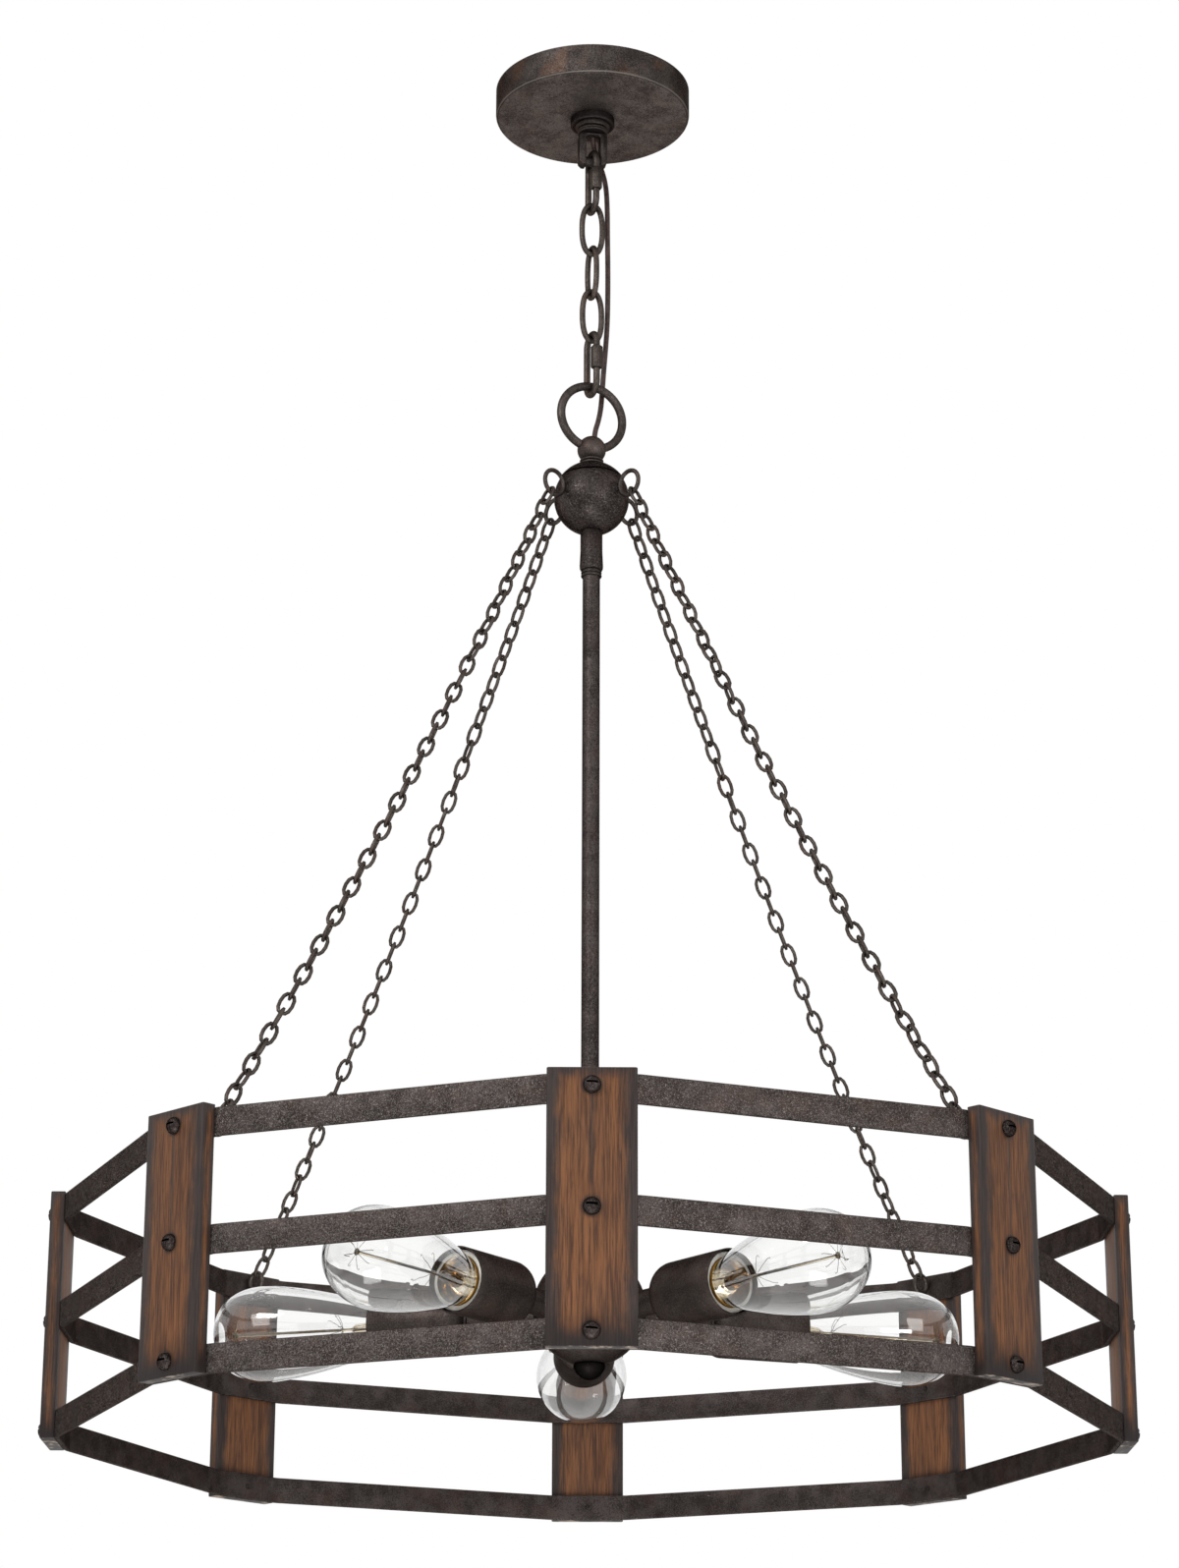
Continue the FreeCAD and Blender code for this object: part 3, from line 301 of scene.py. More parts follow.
# Loop: a cast iron eye on a ribbed neck, screwed on the nipple. Its flat sides are
# chamfered, and a round bar across its foot carries the first quick link.
LOOP_TURN = 10.0
loop_coat = iron_finish("loop_coat", (72, 66, 64), (48, 44, 42), rust_share=0.12, tint=0.4)
neck_line = [(3.3, -32.0), (3.3, -24.0), (5.2, -24.0), (5.2, -14.0), (11.6, -14.0), (11.6, -26.4)]
for i in range(3):
    neck_line += [(11.0, -26.7 - 0.7 * i), (11.4 - 0.25 * i, -27.05 - 0.7 * i)]
for rib in (-29.6, -31.2):
    neck_line += [(9.4, rib + 0.9)] + arc((9.4, rib), 0.8, 70, -70, 4)
neck_line += [(9.2, -32.0), (3.3, -32.0)]
finish("loop_neck", turned(neck_line, 56), loop_coat, "ceiling_mount", "dark_bronze", "canopy_loop")
eye = bmesh.new()
corners = [(-9.5, -53.8), (-7.3, -56.0), (-4.75, -56.0), (-4.75, -36.0), (-3.2, -34.0), (3.2, -34.0),
           (4.75, -36.0), (4.75, -56.0), (7.3, -56.0), (9.5, -53.8), (9.5, -34.2), (7.6, -32.0),
           (-7.6, -32.0), (-9.5, -34.2)]
face = eye.faces.new([eye.verts.new((x, -4.5, z)) for x, z in corners])
grown = bmesh.ops.extrude_face_region(eye, geom=[face])["geom"]
bmesh.ops.translate(eye, vec=(0, 9, 0), verts=[v for v in grown if isinstance(v, bmesh.types.BMVert)])
eye.faces.new([eye.verts.new((x, -4.5, z)) for x, z in corners])
bmesh.ops.remove_doubles(eye, verts=eye.verts, dist=0.001)
soften(eye, 0.9, 2, 40.0)
bar_place = Matrix.Translation((0, 0, -52.5)) @ Matrix.Rotation(math.pi / 2, 4, "Y")
bmesh.ops.create_cone(eye, cap_ends=True, segments=28, radius1=3.5, radius2=3.5, depth=14.6,
                      matrix=bar_place)
bmesh.ops.rotate(eye, cent=(0, 0, 0), matrix=Matrix.Rotation(math.radians(LOOP_TURN), 3, "Z"),
                 verts=eye.verts)
finish("loop_eye", eye, loop_coat, "ceiling_mount", "dark_bronze", "canopy_loop")

# Main chain: a quick link, three welded oval links and a second quick link, all
# bent from round steel wire. A long hex nut runs down one leg of each quick link.
chain_coat = iron_finish("chain_coat", (84, 77, 72), (58, 52, 49), (88, 70, 60), rust_share=0.3,
                         relief=0.25, tint=0.45)


def oval(half_wide, half_tall, wire, sides, steps, bow=2.4, gap=None):
    """An upright closed link of round wire round a bowed oval, or round a gapped stadium."""
    spots = []
    if gap is None:
        for i in range(steps):
            turn = math.tau * i / steps
            c, d = math.cos(turn), math.sin(turn)
            spots.append(Vector((math.copysign(half_wide * abs(c) ** (2 / bow), c), 0,
                                 math.copysign(half_tall * abs(d) ** (2 / bow), d))))
    else:
        straight = half_tall - half_wide
        spots.append(Vector((-half_wide, 0, gap[0])))
        for sign, first in ((1, 180.0), (-1, 0.0)):
            for i in range(steps + 1):
                turn = math.radians(first - 180.0 * i / steps)
                spots.append(Vector((half_wide * math.cos(turn), 0,
                                     sign * straight + half_wide * math.sin(turn))))
        spots.append(Vector((-half_wide, 0, gap[1])))
    bm = bmesh.new()
    rings = []
    count = len(spots)
    for i, spot in enumerate(spots):
        before = spots[i - 1] if gap is None or i else spot
        after = spots[(i + 1) % count] if gap is None or i + 1 < count else spot
        way = (after - before).normalized()
        outwards = way.cross(Vector((0, 1, 0)))
        rings.append([bm.verts.new(spot + outwards * (wire * math.cos(math.tau * j / sides))
                                   + Vector((0, 1, 0)) * (wire * math.sin(math.tau * j / sides)))
                      for j in range(sides)])
    pairs = zip(rings, rings[1:] + rings[:1]) if gap is None else zip(rings, rings[1:])
    for one, two in pairs:
        for j in range(sides):
            bm.faces.new((one[j], one[(j + 1) % sides], two[(j + 1) % sides], two[j]))
    if gap is not None:
        bm.faces.new(rings[0])
        bm.faces.new(rings[-1][::-1])
    return bm


def link_place(middle, turn):
    return standing(Vector((0, 0, middle)), compass(turn), UP)


for name, body, middle, turn in (("chain_link_1", "link_1", -102.9, 12.0),
                                 ("chain_link_2", "link_2", -134.65, 115.0),
                                 ("chain_link_3", "link_3", -166.4, 24.5)):
    link = copies(oval(6.9, 17.9, 1.9, 14, 40), [link_place(middle, turn)])
    finish("oval_" + body, link, chain_coat, body, "dark_bronze", name)
QUICK_HALF_WIDE, QUICK_HALF_TALL, QUICK_WIRE, QUICK_GAP = 7.55, 21.4, 2.2, 4.0
for name, body, nut_body, middle, turn, nut_top in (
        ("upper_quick_link", "upper_quick_link", "upper_nut", -67.95, 110.0, -60.25),
        ("lower_quick_link", "lower_quick_link", "lower_nut", -201.35, 114.5, -191.15)):
    top = nut_top - 1.0 - middle
    wire = oval(QUICK_HALF_WIDE, QUICK_HALF_TALL, QUICK_WIRE, 16, 16, gap=(top, top - QUICK_GAP))
    link = copies(wire, [link_place(middle, turn)])
    finish(name + "_wire", link, chain_coat, body, "dark_bronze", name)
    nut = turned([(2.72, -15.7), (2.72, -0.3), (3.4, 0.0), (4.04, -0.8), (4.04, -15.2), (3.4, -16.0),
                  (2.72, -15.7)], 6)
    soften(nut, 0.25, 2, 50.0)
    seat = standing(compass(turn) * -QUICK_HALF_WIDE + UP * nut_top, compass(turn), UP)
    finish(name + "_hex_nut", copies(nut, [seat]), chain_coat, nut_body, "dark_bronze",
           name + "_nut")

# Cord: one brown lamp cord from the ceiling through the nipple and the loop, down
# beside the chain and into the knob. It hangs a little slack.
cord_coat, tree, shader, place = new_material("cord_jacket", {"Roughness": 0.5,
                                                              "Specular IOR Level": 0.35})
tone = speckle(tree, place, 320.0, 3.0)
fine = speckle(tree, place, 2600.0, 2.0)
tree.links.new(over(tree, between(tree, tone, 0.35, 0.65), paint(38, 27, 25), paint(66, 46, 40)),
               shader["Base Color"])
roughen(tree, shader, fine, 0.3, 0.0002)
CORD_ROUTE = [
    (0.0002, -0.0001, 0.0), (0.0, 0.0, -0.018), (0.0001, 0.0002, -0.0356), (0.0016, 0.007, -0.0432),
    (0.0064, 0.0106, -0.0525), (0.0093, 0.0088, -0.066), (0.0101, 0.006, -0.084),
    (0.0102, 0.0052, -0.106), (0.0105, 0.0051, -0.128), (0.0105, 0.0059, -0.149),
    (0.0102, 0.0072, -0.168), (0.0091, 0.0086, -0.186), (0.0078, 0.0094, -0.202),
    (0.0069, 0.0092, -0.217), (0.006, 0.0076, -0.23), (0.0042, 0.0039, -0.241),
    (0.0021, 0.0009, -0.249), (0.0016, 0.0003, -0.2562)]
line = bpy.data.curves.new("lamp_cord", "CURVE")
line.dimensions = "3D"
line.resolution_u = 10
line.bevel_depth = 0.00175
line.bevel_resolution = 5
line.use_fill_caps = True
run = line.splines.new("NURBS")
run.points.add(len(CORD_ROUTE) - 1)
for point, spot in zip(run.points, CORD_ROUTE):
    point.co = (*spot, 1.0)
run.order_u = 3
run.use_endpoint_u = True
line.materials.append(cord_coat)
cord = bpy.data.objects.new("lamp_cord", line)
bpy.context.scene.collection.objects.link(cord)
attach(cord, "ceiling_mount")
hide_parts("cord")

# Hanging ring: a heavy round ring whose two ends are gripped by a small knob. The
# knob, a ribbed neck and a lid with a fine seam close the ball that takes the chains.
ring_coat = iron_finish("ring_coat", (82, 75, 72), (54, 49, 47), (90, 70, 64), rust_share=0.3,
                        relief=0.3, tint=0.4)
# The ball's pale flecks are partly its hammered marks and partly painted sparkle highlights.
ball_coat = iron_finish("ball_coat", (74, 68, 66), (44, 39, 38), (76, 60, 58), (160, 152, 146),
                        1000.0, rust_share=0.2, fleck_share=0.24, relief=1.0, gloss=0.14)
RING_MIDDLE, RING_RADIUS = -239.45, 21.95


def hoop_of_wire(radius, wire, sides, steps, opening=0.0):
    """A ring of wire in the upright plane, its opening centred on the lowest point."""
    bm = bmesh.new()
    first = math.radians(opening / 2)
    spot = Matrix.Translation((radius * math.sin(first), 0, -radius * math.cos(first)))
    made = bmesh.ops.create_circle(bm, cap_ends=opening > 0, segments=sides, radius=wire,
                                   matrix=spot @ Matrix.Rotation(math.pi / 2 - first, 4, "Y"))
    edges = list({e for v in made["verts"] for e in v.link_edges})
    bmesh.ops.spin(bm, geom=made["verts"] + edges, cent=(0, 0, 0), axis=(0, 1, 0), dvec=(0, 0, 0),
                   angle=-(math.tau - 2 * first), steps=steps, use_merge=opening == 0,
                   use_duplicate=False)
    bmesh.ops.remove_doubles(bm, verts=bm.verts, dist=0.002)
    if opening:
        bmesh.ops.holes_fill(bm, edges=[e for e in bm.edges if len(e.link_faces) == 1], sides=0)
    return bm


ring = copies(hoop_of_wire(RING_RADIUS, 2.8, 18, 64, 26.0), [link_place(RING_MIDDLE, 24.5)])
finish("big_ring", ring, ring_coat, "fixture", "dark_bronze", "hanging_ring")
knob = turned(arc((0, -262.7), 9.35, 90, -49, 18) + [(0, -269.8)], 48)
finish("ring_knob", knob, ring_coat, "fixture", "dark_bronze", "knob")
neck = turned([(0, -269.8)] + arc((6.9, -270.7), 0.9, 90, -80, 6) + [(6.7, -271.8)]
              + arc((7.0, -272.8), 0.8, 80, -70, 6) + [(7.6, -274.0), (0, -274.0)], 48)
finish("knob_neck", neck, ring_coat, "fixture", "dark_bronze", "neck_collar")
BALL_MIDDLE, BALL_RADIUS = -297.2, 24.4
lid = turned([(0, -283.0), (19.2, -283.0)] + arc((0, BALL_MIDDLE), BALL_RADIUS + 0.5, 35.4, 70, 12)
             + [(6.2, -274.0), (0, -274.0)], 80)
finish("ball_cap", lid, ball_coat, "fixture", "dark_bronze", "ball_lid", crease=50.0)
ball = turned([(0, -283.8), (18.6, -283.8)] + arc((0, BALL_MIDDLE), BALL_RADIUS, 32.4, -73.0, 30)
              + [(0, -320.5)], 80)
finish("ball_bowl", ball, ball_coat, "fixture", "dark_bronze", "ball_body", crease=50.0)
BALL_EYE_REACH, BALL_EYE_HEIGHT, BALL_EYE_RADIUS = 34.0, -296.0, 8.3
wire_eye = hoop_of_wire(BALL_EYE_RADIUS, 1.45, 12, 32)
bmesh.ops.create_cone(wire_eye, cap_ends=True, segments=14, radius1=1.45, radius2=1.45, depth=6.4,
                      matrix=Matrix.Translation((-11.3, 0, 0)) @ Matrix.Rotation(math.pi / 2, 4, "Y"))
bmesh.ops.create_cone(wire_eye, cap_ends=True, segments=18, radius1=3.0, radius2=2.2, depth=1.4,
                      matrix=Matrix.Translation((-10.2, 0, 0)) @ Matrix.Rotation(math.pi / 2, 4, "Y"))
spots = [standing(compass(a) * BALL_EYE_REACH + UP * BALL_EYE_HEIGHT, compass(a), UP)
         for a in (45, 135, 225, 315)]
finish("ball_wire_eyes", copies(wire_eye, spots), ring_coat, "fixture", "dark_bronze", "ball_eyes")

# Rod: an iron tube screwed into a flared coupling under the ball. It carries the hub
# with the lamps; the coupling's small ring hides the thread.
rod_coat = iron_finish("rod_coat", (70, 64, 62), (46, 41, 40), (76, 60, 55), grain=1000.0,
                       rust_share=0.2, fleck_share=0.2, relief=0.6)
sleeve = turned([(0, -320.2), (6.7, -320.2), (7.15, -320.9), (7.15, -334.0), (7.45, -341.0),
                 (7.6, -344.4), (7.5, -346.2), (7.0, -347.3), (6.3, -347.7), (5.8, -347.8),
                 (5.8, -348.4), (6.4, -348.5), (6.7, -349.1), (6.6, -349.8), (5.85, -350.0),
                 (5.85, -350.6), (6.5, -350.7), (6.75, -351.3), (6.5, -352.0), (0, -352.0)], 48)
finish("rod_sleeve", sleeve, rod_coat, "fixture", "dark_bronze", "rod_coupling")
rod = turned([(0, -345.0)] + [(5.6, -345.0 - 9.0 * i) for i in range(51)]
             + [(5.6, -797.0), (0, -797.0)], 40)
finish("rod_tube", rod, rod_coat, "fixture", "dark_bronze", "rod")

# Hub: an iron ball on the rod with a button under it and five lamp arms round it. The
# arms are short tubes, and each carries a deep round-backed cup.
LAMP_HEIGHT = -833.1
lamp_ways = [compass(91.2 + 72.0 * i) for i in range(5)]
lamp_places = [standing(UP * LAMP_HEIGHT, UP, way) for way in lamp_ways]
cup_coat = iron_finish("cup_coat", (74, 67, 64), (54, 48, 46), (80, 64, 57), grain=1200.0,
                       rust_share=0.25, fleck_share=0.1, relief=0.4)
hub = turned(arc((0, -828.6), 34.4, 71.0, -73.6, 34) + [(0, -861.6)], 80)
bmesh.ops.create_cone(hub, cap_ends=True, segments=40, radius1=8.6, radius2=6.4, depth=2.4,
                      matrix=Matrix.Translation((0, 0, -795.2)))
finish("hub_ball", hub, cup_coat, "fixture", "dark_bronze", "hub")
button = turned([(0, -861.0), (9.1, -861.0)] + arc((8.4, -862.9), 1.3, 60, 0, 3)
                + [(9.6, -864.6)] + arc((0, -861.9), 9.7, -24, -90, 9), 48)
button_coat = iron_finish("button_coat", (30, 26, 26), (22, 19, 19), rust_share=0.0, fleck_share=0.0)
finish("hub_button", button, button_coat, "fixture", "dark_bronze", "hub_finial")
arm = turned([(0, 31.5), (8.0, 31.5), (8.0, 75.4), (9.6, 75.9), (9.9, 76.9), (0, 76.9)], 36)
finish("arm_tubes", copies(arm, lamp_places), cup_coat, "fixture", "dark_bronze", "lamp_arms")
cup = turned([(0, 76.9), (9.6, 76.9)] + arc((10.6, 85.9), 9.0, -84, 0, 10) + [(19.6, 100.0),
             (19.6, 118.0), (19.6, 135.8), (19.3, 136.4), (18.6, 136.4), (18.4, 136.0), (18.4, 89.6),
             (0, 89.6)], 64)
finish("lamp_cup_shells", copies(cup, lamp_places), cup_coat, "fixture", "dark_bronze", "lamp_cups")

# Sockets: an off-white moulded body pushed into each cup, and inside it the brass
# screw shell with a rolled lip and a coarse rolled thread.
body_white, tree, shader, place = new_material("moulded_white", {"Roughness": 0.5,
                                                                 "Specular IOR Level": 0.35})
tone = speckle(tree, place, 160.0, 3.0)
tree.links.new(over(tree, between(tree, tone, 0.3, 0.7), paint(222, 218, 208), paint(240, 237, 229)),
               shader["Base Color"])
brass, tree, shader, place = new_material("brass_shell", {"Metallic": 1.0})
tone = speckle(tree, place, 110.0, 4.0)
tree.links.new(over(tree, between(tree, tone, 0.35, 0.65), paint(118, 84, 30), paint(160, 120, 50)),
               shader["Base Color"])
tree.links.new(between(tree, speckle(tree, place, 900.0, 2.0), 0.3, 0.7, 0.28, 0.45),
               shader["Roughness"])
socket = turned([(0, 89.6), (18.0, 89.6), (18.0, 132.4), (17.7, 133.2), (17.0, 133.4), (15.5, 133.4),
                 (14.9, 133.1), (14.8, 132.5), (14.8, 131.0), (15.8, 130.0), (15.8, 94.4), (0, 94.4)],
                56)
finish("socket_liners", copies(socket, lamp_places), body_white, "fixture", "porcelain_white",
       "socket_bodies")
thread = []
for i in range(7):
    thread += [(14.35, 130.4 - 5.0 * i), (14.0, 128.9 - 5.0 * i), (13.85, 127.9 - 5.0 * i),
               (14.0, 126.9 - 5.0 * i)]
inside = [(r, z) for r, z in thread if z > 97.0]
shell = turned([(14.1, 134.7), (14.3, 135.0), (14.6, 134.8), (14.65, 134.2), (14.6, 133.0)]
               + [(r + 0.4, z) for r, z in inside] + [(14.5, 94.6), (0, 94.6), (0, 95.1), (14.0, 95.1)]
               + inside[::-1] + [(14.1, 133.0), (14.1, 134.7)], 56)
finish("screw_shells", copies(shell, lamp_places), brass, "fixture", "brass", "socket_shells")

# Bulbs: long clear squirrel-cage bulbs. Each has a brass screw base, a blown glass
# envelope sealed on a glass stem, and hooked support wires in two stars on a spine.
clear, tree, shader, place = new_material("clear_glass", {
    "Transmission Weight": 1.0, "Roughness": 0.0, "IOR": 1.45})
# Towards glancing angles the glass is tinted grey: painted dark reflections along the bulbs' rims.
facing = add_node(tree, "LayerWeight", {"Blend": 0.35}).outputs["Facing"]
tree.links.new(over(tree, between(tree, facing, 0.25, 1.0), (0.985, 0.985, 0.98, 1.0),
                    (0.56, 0.57, 0.57, 1.0)), shader["Base Color"])
stem_glass, tree, shader, place = new_material("stem_glass", {
    "Transmission Weight": 1.0, "Roughness": 0.03, "IOR": 1.5})
# The stem glass is tinted amber: a painted reflection of the brass base seen in the stem.
tone = speckle(tree, place, 300.0, 2.0)
tree.links.new(over(tree, between(tree, tone, 0.3, 0.7), (0.80, 0.62, 0.36, 1.0),
                    (0.94, 0.88, 0.76, 1.0)), shader["Base Color"])
wire_metal, tree, shader, place = new_material("support_wire", {"Metallic": 1.0, "Roughness": 0.35})
tone = speckle(tree, place, 700.0, 2.0)
tree.links.new(over(tree, tone, paint(70, 64, 56), paint(128, 118, 100)), shader["Base Color"])


def wire_along(bm, points, radius, sides):
    """A thin wire through the points, turned with them."""
    spots = [Vector(p) for p in points]
    way = (spots[1] - spots[0]).normalized()
    made = bmesh.ops.create_circle(
        bm, cap_ends=True, segments=sides, radius=radius,
        matrix=Matrix.Translation(spots[0]) @ way.to_track_quat("Z", "X").to_matrix().to_4x4())
    edges = list({e for v in made["verts"] for e in v.link_edges})
    for i in range(1, len(spots)):
        grown = bmesh.ops.extrude_edge_only(bm, edges=edges)["geom"]
        verts = [v for v in grown if isinstance(v, bmesh.types.BMVert)]
        edges = [e for e in grown if isinstance(e, bmesh.types.BMEdge) and set(e.verts) <= set(verts)]
        bmesh.ops.translate(bm, vec=spots[i] - spots[i - 1], verts=verts)
        if i + 1 < len(spots):
            next_way = (spots[i + 1] - spots[i]).normalized()
            turn = way.rotation_difference((way + next_way).normalized())
            bmesh.ops.rotate(bm, cent=spots[i], matrix=turn.to_matrix(), verts=verts)
            way = next_way
        else:
            bmesh.ops.edgeloop_fill(bm, edges=edges)


glass_line = [(13.2, 125.0), (13.6, 130.0), (13.6, 134.2), (15.0, 137.5), (17.2, 143.0),
              (19.6, 151.0), (22.2, 161.5), (24.8, 172.5), (26.9, 183.5), (28.5, 194.0),
              (29.5, 203.0), (29.7, 210.5), (28.9, 218.0), (26.6, 225.5), (22.7, 232.0),
              (17.2, 237.0), (10.6, 240.0), (4.8, 240.7), (0.0, 240.7)]
spline = bpy.data.curves.new("glass_outline", "CURVE")
run = spline.splines.new("NURBS")
run.points.add(len(glass_line) - 1)
for point, (radius, height) in zip(run.points, glass_line):
    point.co = (radius, 0, height, 1.0)
run.order_u = 4
run.use_endpoint_u = True
spline.resolution_u = 4
holder = bpy.data.objects.new("glass_outline", spline)
outline = bpy.data.meshes.new_from_object(holder)
outer = [(min(max(v.co.x, 0.0), 29.5), v.co.z) for v in outline.vertices]
bpy.data.objects.remove(holder)
bpy.data.meshes.remove(outline)
outer[-1] = (0.0, 240.7)
inner = [(max(radius - 0.9, 0.0), min(height, 239.8)) for radius, height in outer if radius > 2.5]
envelope = turned(outer[::-1] + inner + [(0.0, 239.8)], 80)
bulb_base = turned([(0, 95.4), (4.6, 95.4), (5.0, 96.2), (6.4, 97.4), (9.5, 98.6), (12.2, 101.2)]
                   + [(13.0 - 0.55 * (i % 2), 103.0 + 1.6 * i) for i in range(12)]
                   + [(12.8, 123.0), (13.0, 124.0), (13.0, 125.4), (12.0, 125.9), (0, 125.9)], 44)
stem = turned([(0, 126.1), (11.2, 126.1), (10.2, 129.2), (7.4, 133.2), (5.0, 137.2), (3.9, 141.5),
               (3.4, 146.5), (2.9, 149.8), (1.6, 151.4), (0.9, 153.0), (0.8, 228.2), (0, 228.2)], 28)
wires = bmesh.new()
for station, reach, lean, turn in ((158.5, 11.0, 4.5, 22.0), (229.0, 10.0, -1.5, 0.0)):
    for i in range(8):
        way = compass(45.0 * i + turn)
        root = UP * station
        wire_along(wires, [root + way * 0.8, root + way * (reach * 0.45) + UP * (lean * 0.25),
                           root + way * (reach * 0.82) + UP * (lean * 0.75),
                           root + way * (reach * 0.97) + UP * lean,
                           root + way * reach + UP * (lean + (1.3 if lean > 0 else -1.3)),
                           root + way * (reach * 0.9) + UP * (lean + (1.9 if lean > 0 else -1.9))],
                   0.17, 5)
bmesh.ops.create_uvsphere(wires, u_segments=16, v_segments=10, radius=2.1,
                          matrix=Matrix.Translation((0, 0, 229.0)))
for side in (-1, 1):
    wire_along(wires, [(0.0, side * 1.2, 133.0), (0.0, side * 1.3, 148.0), (0.0, side * 2.0, 154.0),
                       (0.0, side * 1.1, 160.0), (0.0, side * 1.1, 227.6)], 0.26, 6)
shapes = {"glass": envelope, "base": bulb_base, "stem": stem, "wires": wires}
saved = {}
for label, bm in shapes.items():
    saved[label] = bpy.data.meshes.new("bulb_" + label)
    bm.to_mesh(saved[label])
    bm.free()
for i, spot in enumerate(lamp_places):
    for label, coat, slot, node in (("glass", clear, "clear_glass", "bulb_glass_%d"),
                                    ("base", brass, "brass", "bulb_base_%d"),
                                    ("stem", stem_glass, "filament_wire", "bulb_filament_%d"),
                                    ("wires", wire_metal, "filament_wire", "bulb_filament_%d")):
        one = bmesh.new()
        one.from_mesh(saved[label])
        finish("bulb_%d_%s" % (i + 1, label), copies(one, [spot]), coat, "bulb_%d" % (i + 1), slot,
               node % (i + 1))
for mesh in saved.values():
    bpy.data.meshes.remove(mesh)

# Hoops: three flat steel bands with a hammered salt-and-pepper finish, bent at both
# edges of each stave. They hold the staves from behind.
# The hoops' pale flecks are hammered marks, with more of them on the outward faces as painted
# highlight.
hoop_coat = iron_finish("hoop_coat", (76, 69, 67), (50, 44, 42), (80, 62, 55), (158, 150, 145),
                        1350.0, rust_share=0.3, fleck_share=0.62, relief=0.9, outside=0.06)
HOOP_HEIGHTS = (-771.8, -837.3, -902.8)
BAND_OUTER, BAND_THICK, BAND_HIGH, BEND_AT = 316.7, 3.0, 16.2, 25.05
for name, height in zip(("top_hoop", "middle_hoop", "bottom_hoop"), HOOP_HEIGHTS):
    bm = bmesh.new()
    corners = []
    for i in range(8):
        outwards, along = compass(270.0 + 45.0 * i), compass(360.0 + 45.0 * i)
        for side in (-1, 1):
            corners.append(bm.verts.new(outwards * BAND_OUTER + along * (BEND_AT * side)
                                        + UP * (height - BAND_HIGH / 2)))
    edges = [bm.edges.new(pair) for pair in zip(corners, corners[1:] + corners[:1])]
    grown = bmesh.ops.extrude_edge_only(bm, edges=edges)["geom"]
    bmesh.ops.translate(bm, vec=(0, 0, BAND_HIGH),
                        verts=[v for v in grown if isinstance(v, bmesh.types.BMVert)])
    bends = [e for e in bm.edges if len(e.link_faces) == 2]
    bmesh.ops.bevel(bm, geom=bends, offset=2.2, offset_type="OFFSET", segments=4, profile=0.5,
                    affect="EDGES", clamp_overlap=True, material=-1)
    bmesh.ops.recalc_face_normals(bm, faces=bm.faces)
    if sum(f.normal.dot(f.calc_center_median()) * f.calc_area() for f in bm.faces) < 0:
        bmesh.ops.reverse_faces(bm, faces=bm.faces)
    bmesh.ops.solidify(bm, geom=list(bm.faces), thickness=BAND_THICK)
    soften(bm, 0.5, 2, 60.0)
    finish(name + "_band", bm, hoop_coat, "fixture", "hammered_iron", name, crease=50.0)

# Staves: eight upright boards of stained hardwood, their edges burnished nearly
# black and slightly rounded. Three round-headed screws fix each board to the hoops.
STAVE_OUTER, STAVE_MIDDLE = 325.5, -836.6
STAVE_SIZE = (48.3, 8.8, 148.8)
stained_board, given, made = new_group(
    "stained_board",
    [("Board", "Vector"), ("Lot", "Vector"), ("Half Width", "Float"), ("Half Depth", "Float"),
     ("Half Height", "Float")],
    [("Colour", "Color"), ("Height", "Float"), ("Roughness", "Float")])
tree = stained_board


def stretched(across, up):
    return add_node(tree, "Mapping", {"Vector": given["Lot"],
                                      "Scale": (across, across, up)}).outputs[0]


fibre = speckle(tree, stretched(1.0, 0.035), 1500.0, 3.0, 0.6)
streak = speckle(tree, stretched(1.0, 0.05), 260.0, 4.0, 0.6)
figure = speckle(tree, stretched(1.0, 0.22), 70.0, 3.0, 0.6, 0.6)
dash = speckle(tree, stretched(1.0, 0.12), 520.0, 3.0, 0.6)
wobble = speckle(tree, stretched(1.0, 0.5), 120.0, 4.0, 0.65)
colour = over(tree, between(tree, streak, 0.34, 0.66), paint(74, 46, 30), paint(100, 63, 38))
colour = over(tree, between(tree, figure, 0.32, 0.6, 0.6, 0.0), colour, paint(58, 41, 33))
colour = over(tree, between(tree, fibre, 0.42, 0.66, 0.0, 0.5), colour, paint(128, 86, 56))
colour = over(tree, between(tree, fibre, 0.47, 0.33, 0.0, 0.7), colour, paint(52, 35, 26))
colour = over(tree, between(tree, dash, 0.42, 0.3, 0.0, 0.55), colour, paint(54, 38, 30))
axes = add_node(tree, "SeparateXYZ", {0: given["Board"]}).outputs
shift = sums(tree, "MULTIPLY", sums(tree, "SUBTRACT", wobble, 0.5), 0.01)
shift = sums(tree, "ADD", shift, sums(tree, "MULTIPLY", sums(tree, "SUBTRACT", streak, 0.5), 0.006))
side_face = sums(tree, "MULTIPLY", sums(tree, "SUBTRACT", given["Half Depth"],
                                        sums(tree, "ABSOLUTE", axes[1])), 2.4)
from_side = sums(tree, "SUBTRACT", given["Half Width"], sums(tree, "ABSOLUTE", axes[0]))
from_side = sums(tree, "ADD", sums(tree, "MAXIMUM", from_side, side_face), shift)
from_top = sums(tree, "ADD", sums(tree, "SUBTRACT", given["Half Height"], axes[2]), shift)
from_foot = sums(tree, "ADD", sums(tree, "ADD", given["Half Height"], axes[2]), shift)
burn_and_shade = sums(tree, "MAXIMUM", between(tree, from_side, 0.0025, 0.0115, 1.0, 0.0),
            between(tree, from_top, 0.001, 0.0085, 0.95, 0.0))
burn_and_shade = sums(tree, "MAXIMUM", burn_and_shade, between(tree, from_foot, 0.003, 0.0135, 1.0, 0.0))
centre = sums(tree, "ABSOLUTE", sums(tree, "ADD", axes[0], sums(tree, "MULTIPLY", shift, 0.35)))
centre = sums(tree, "MULTIPLY", between(tree, centre, 0.0004, 0.0022, 0.6, 0.0),
              between(tree, axes[2], -0.005, 0.02))
burn_and_shade = sums(tree, "MAXIMUM", burn_and_shade, centre)
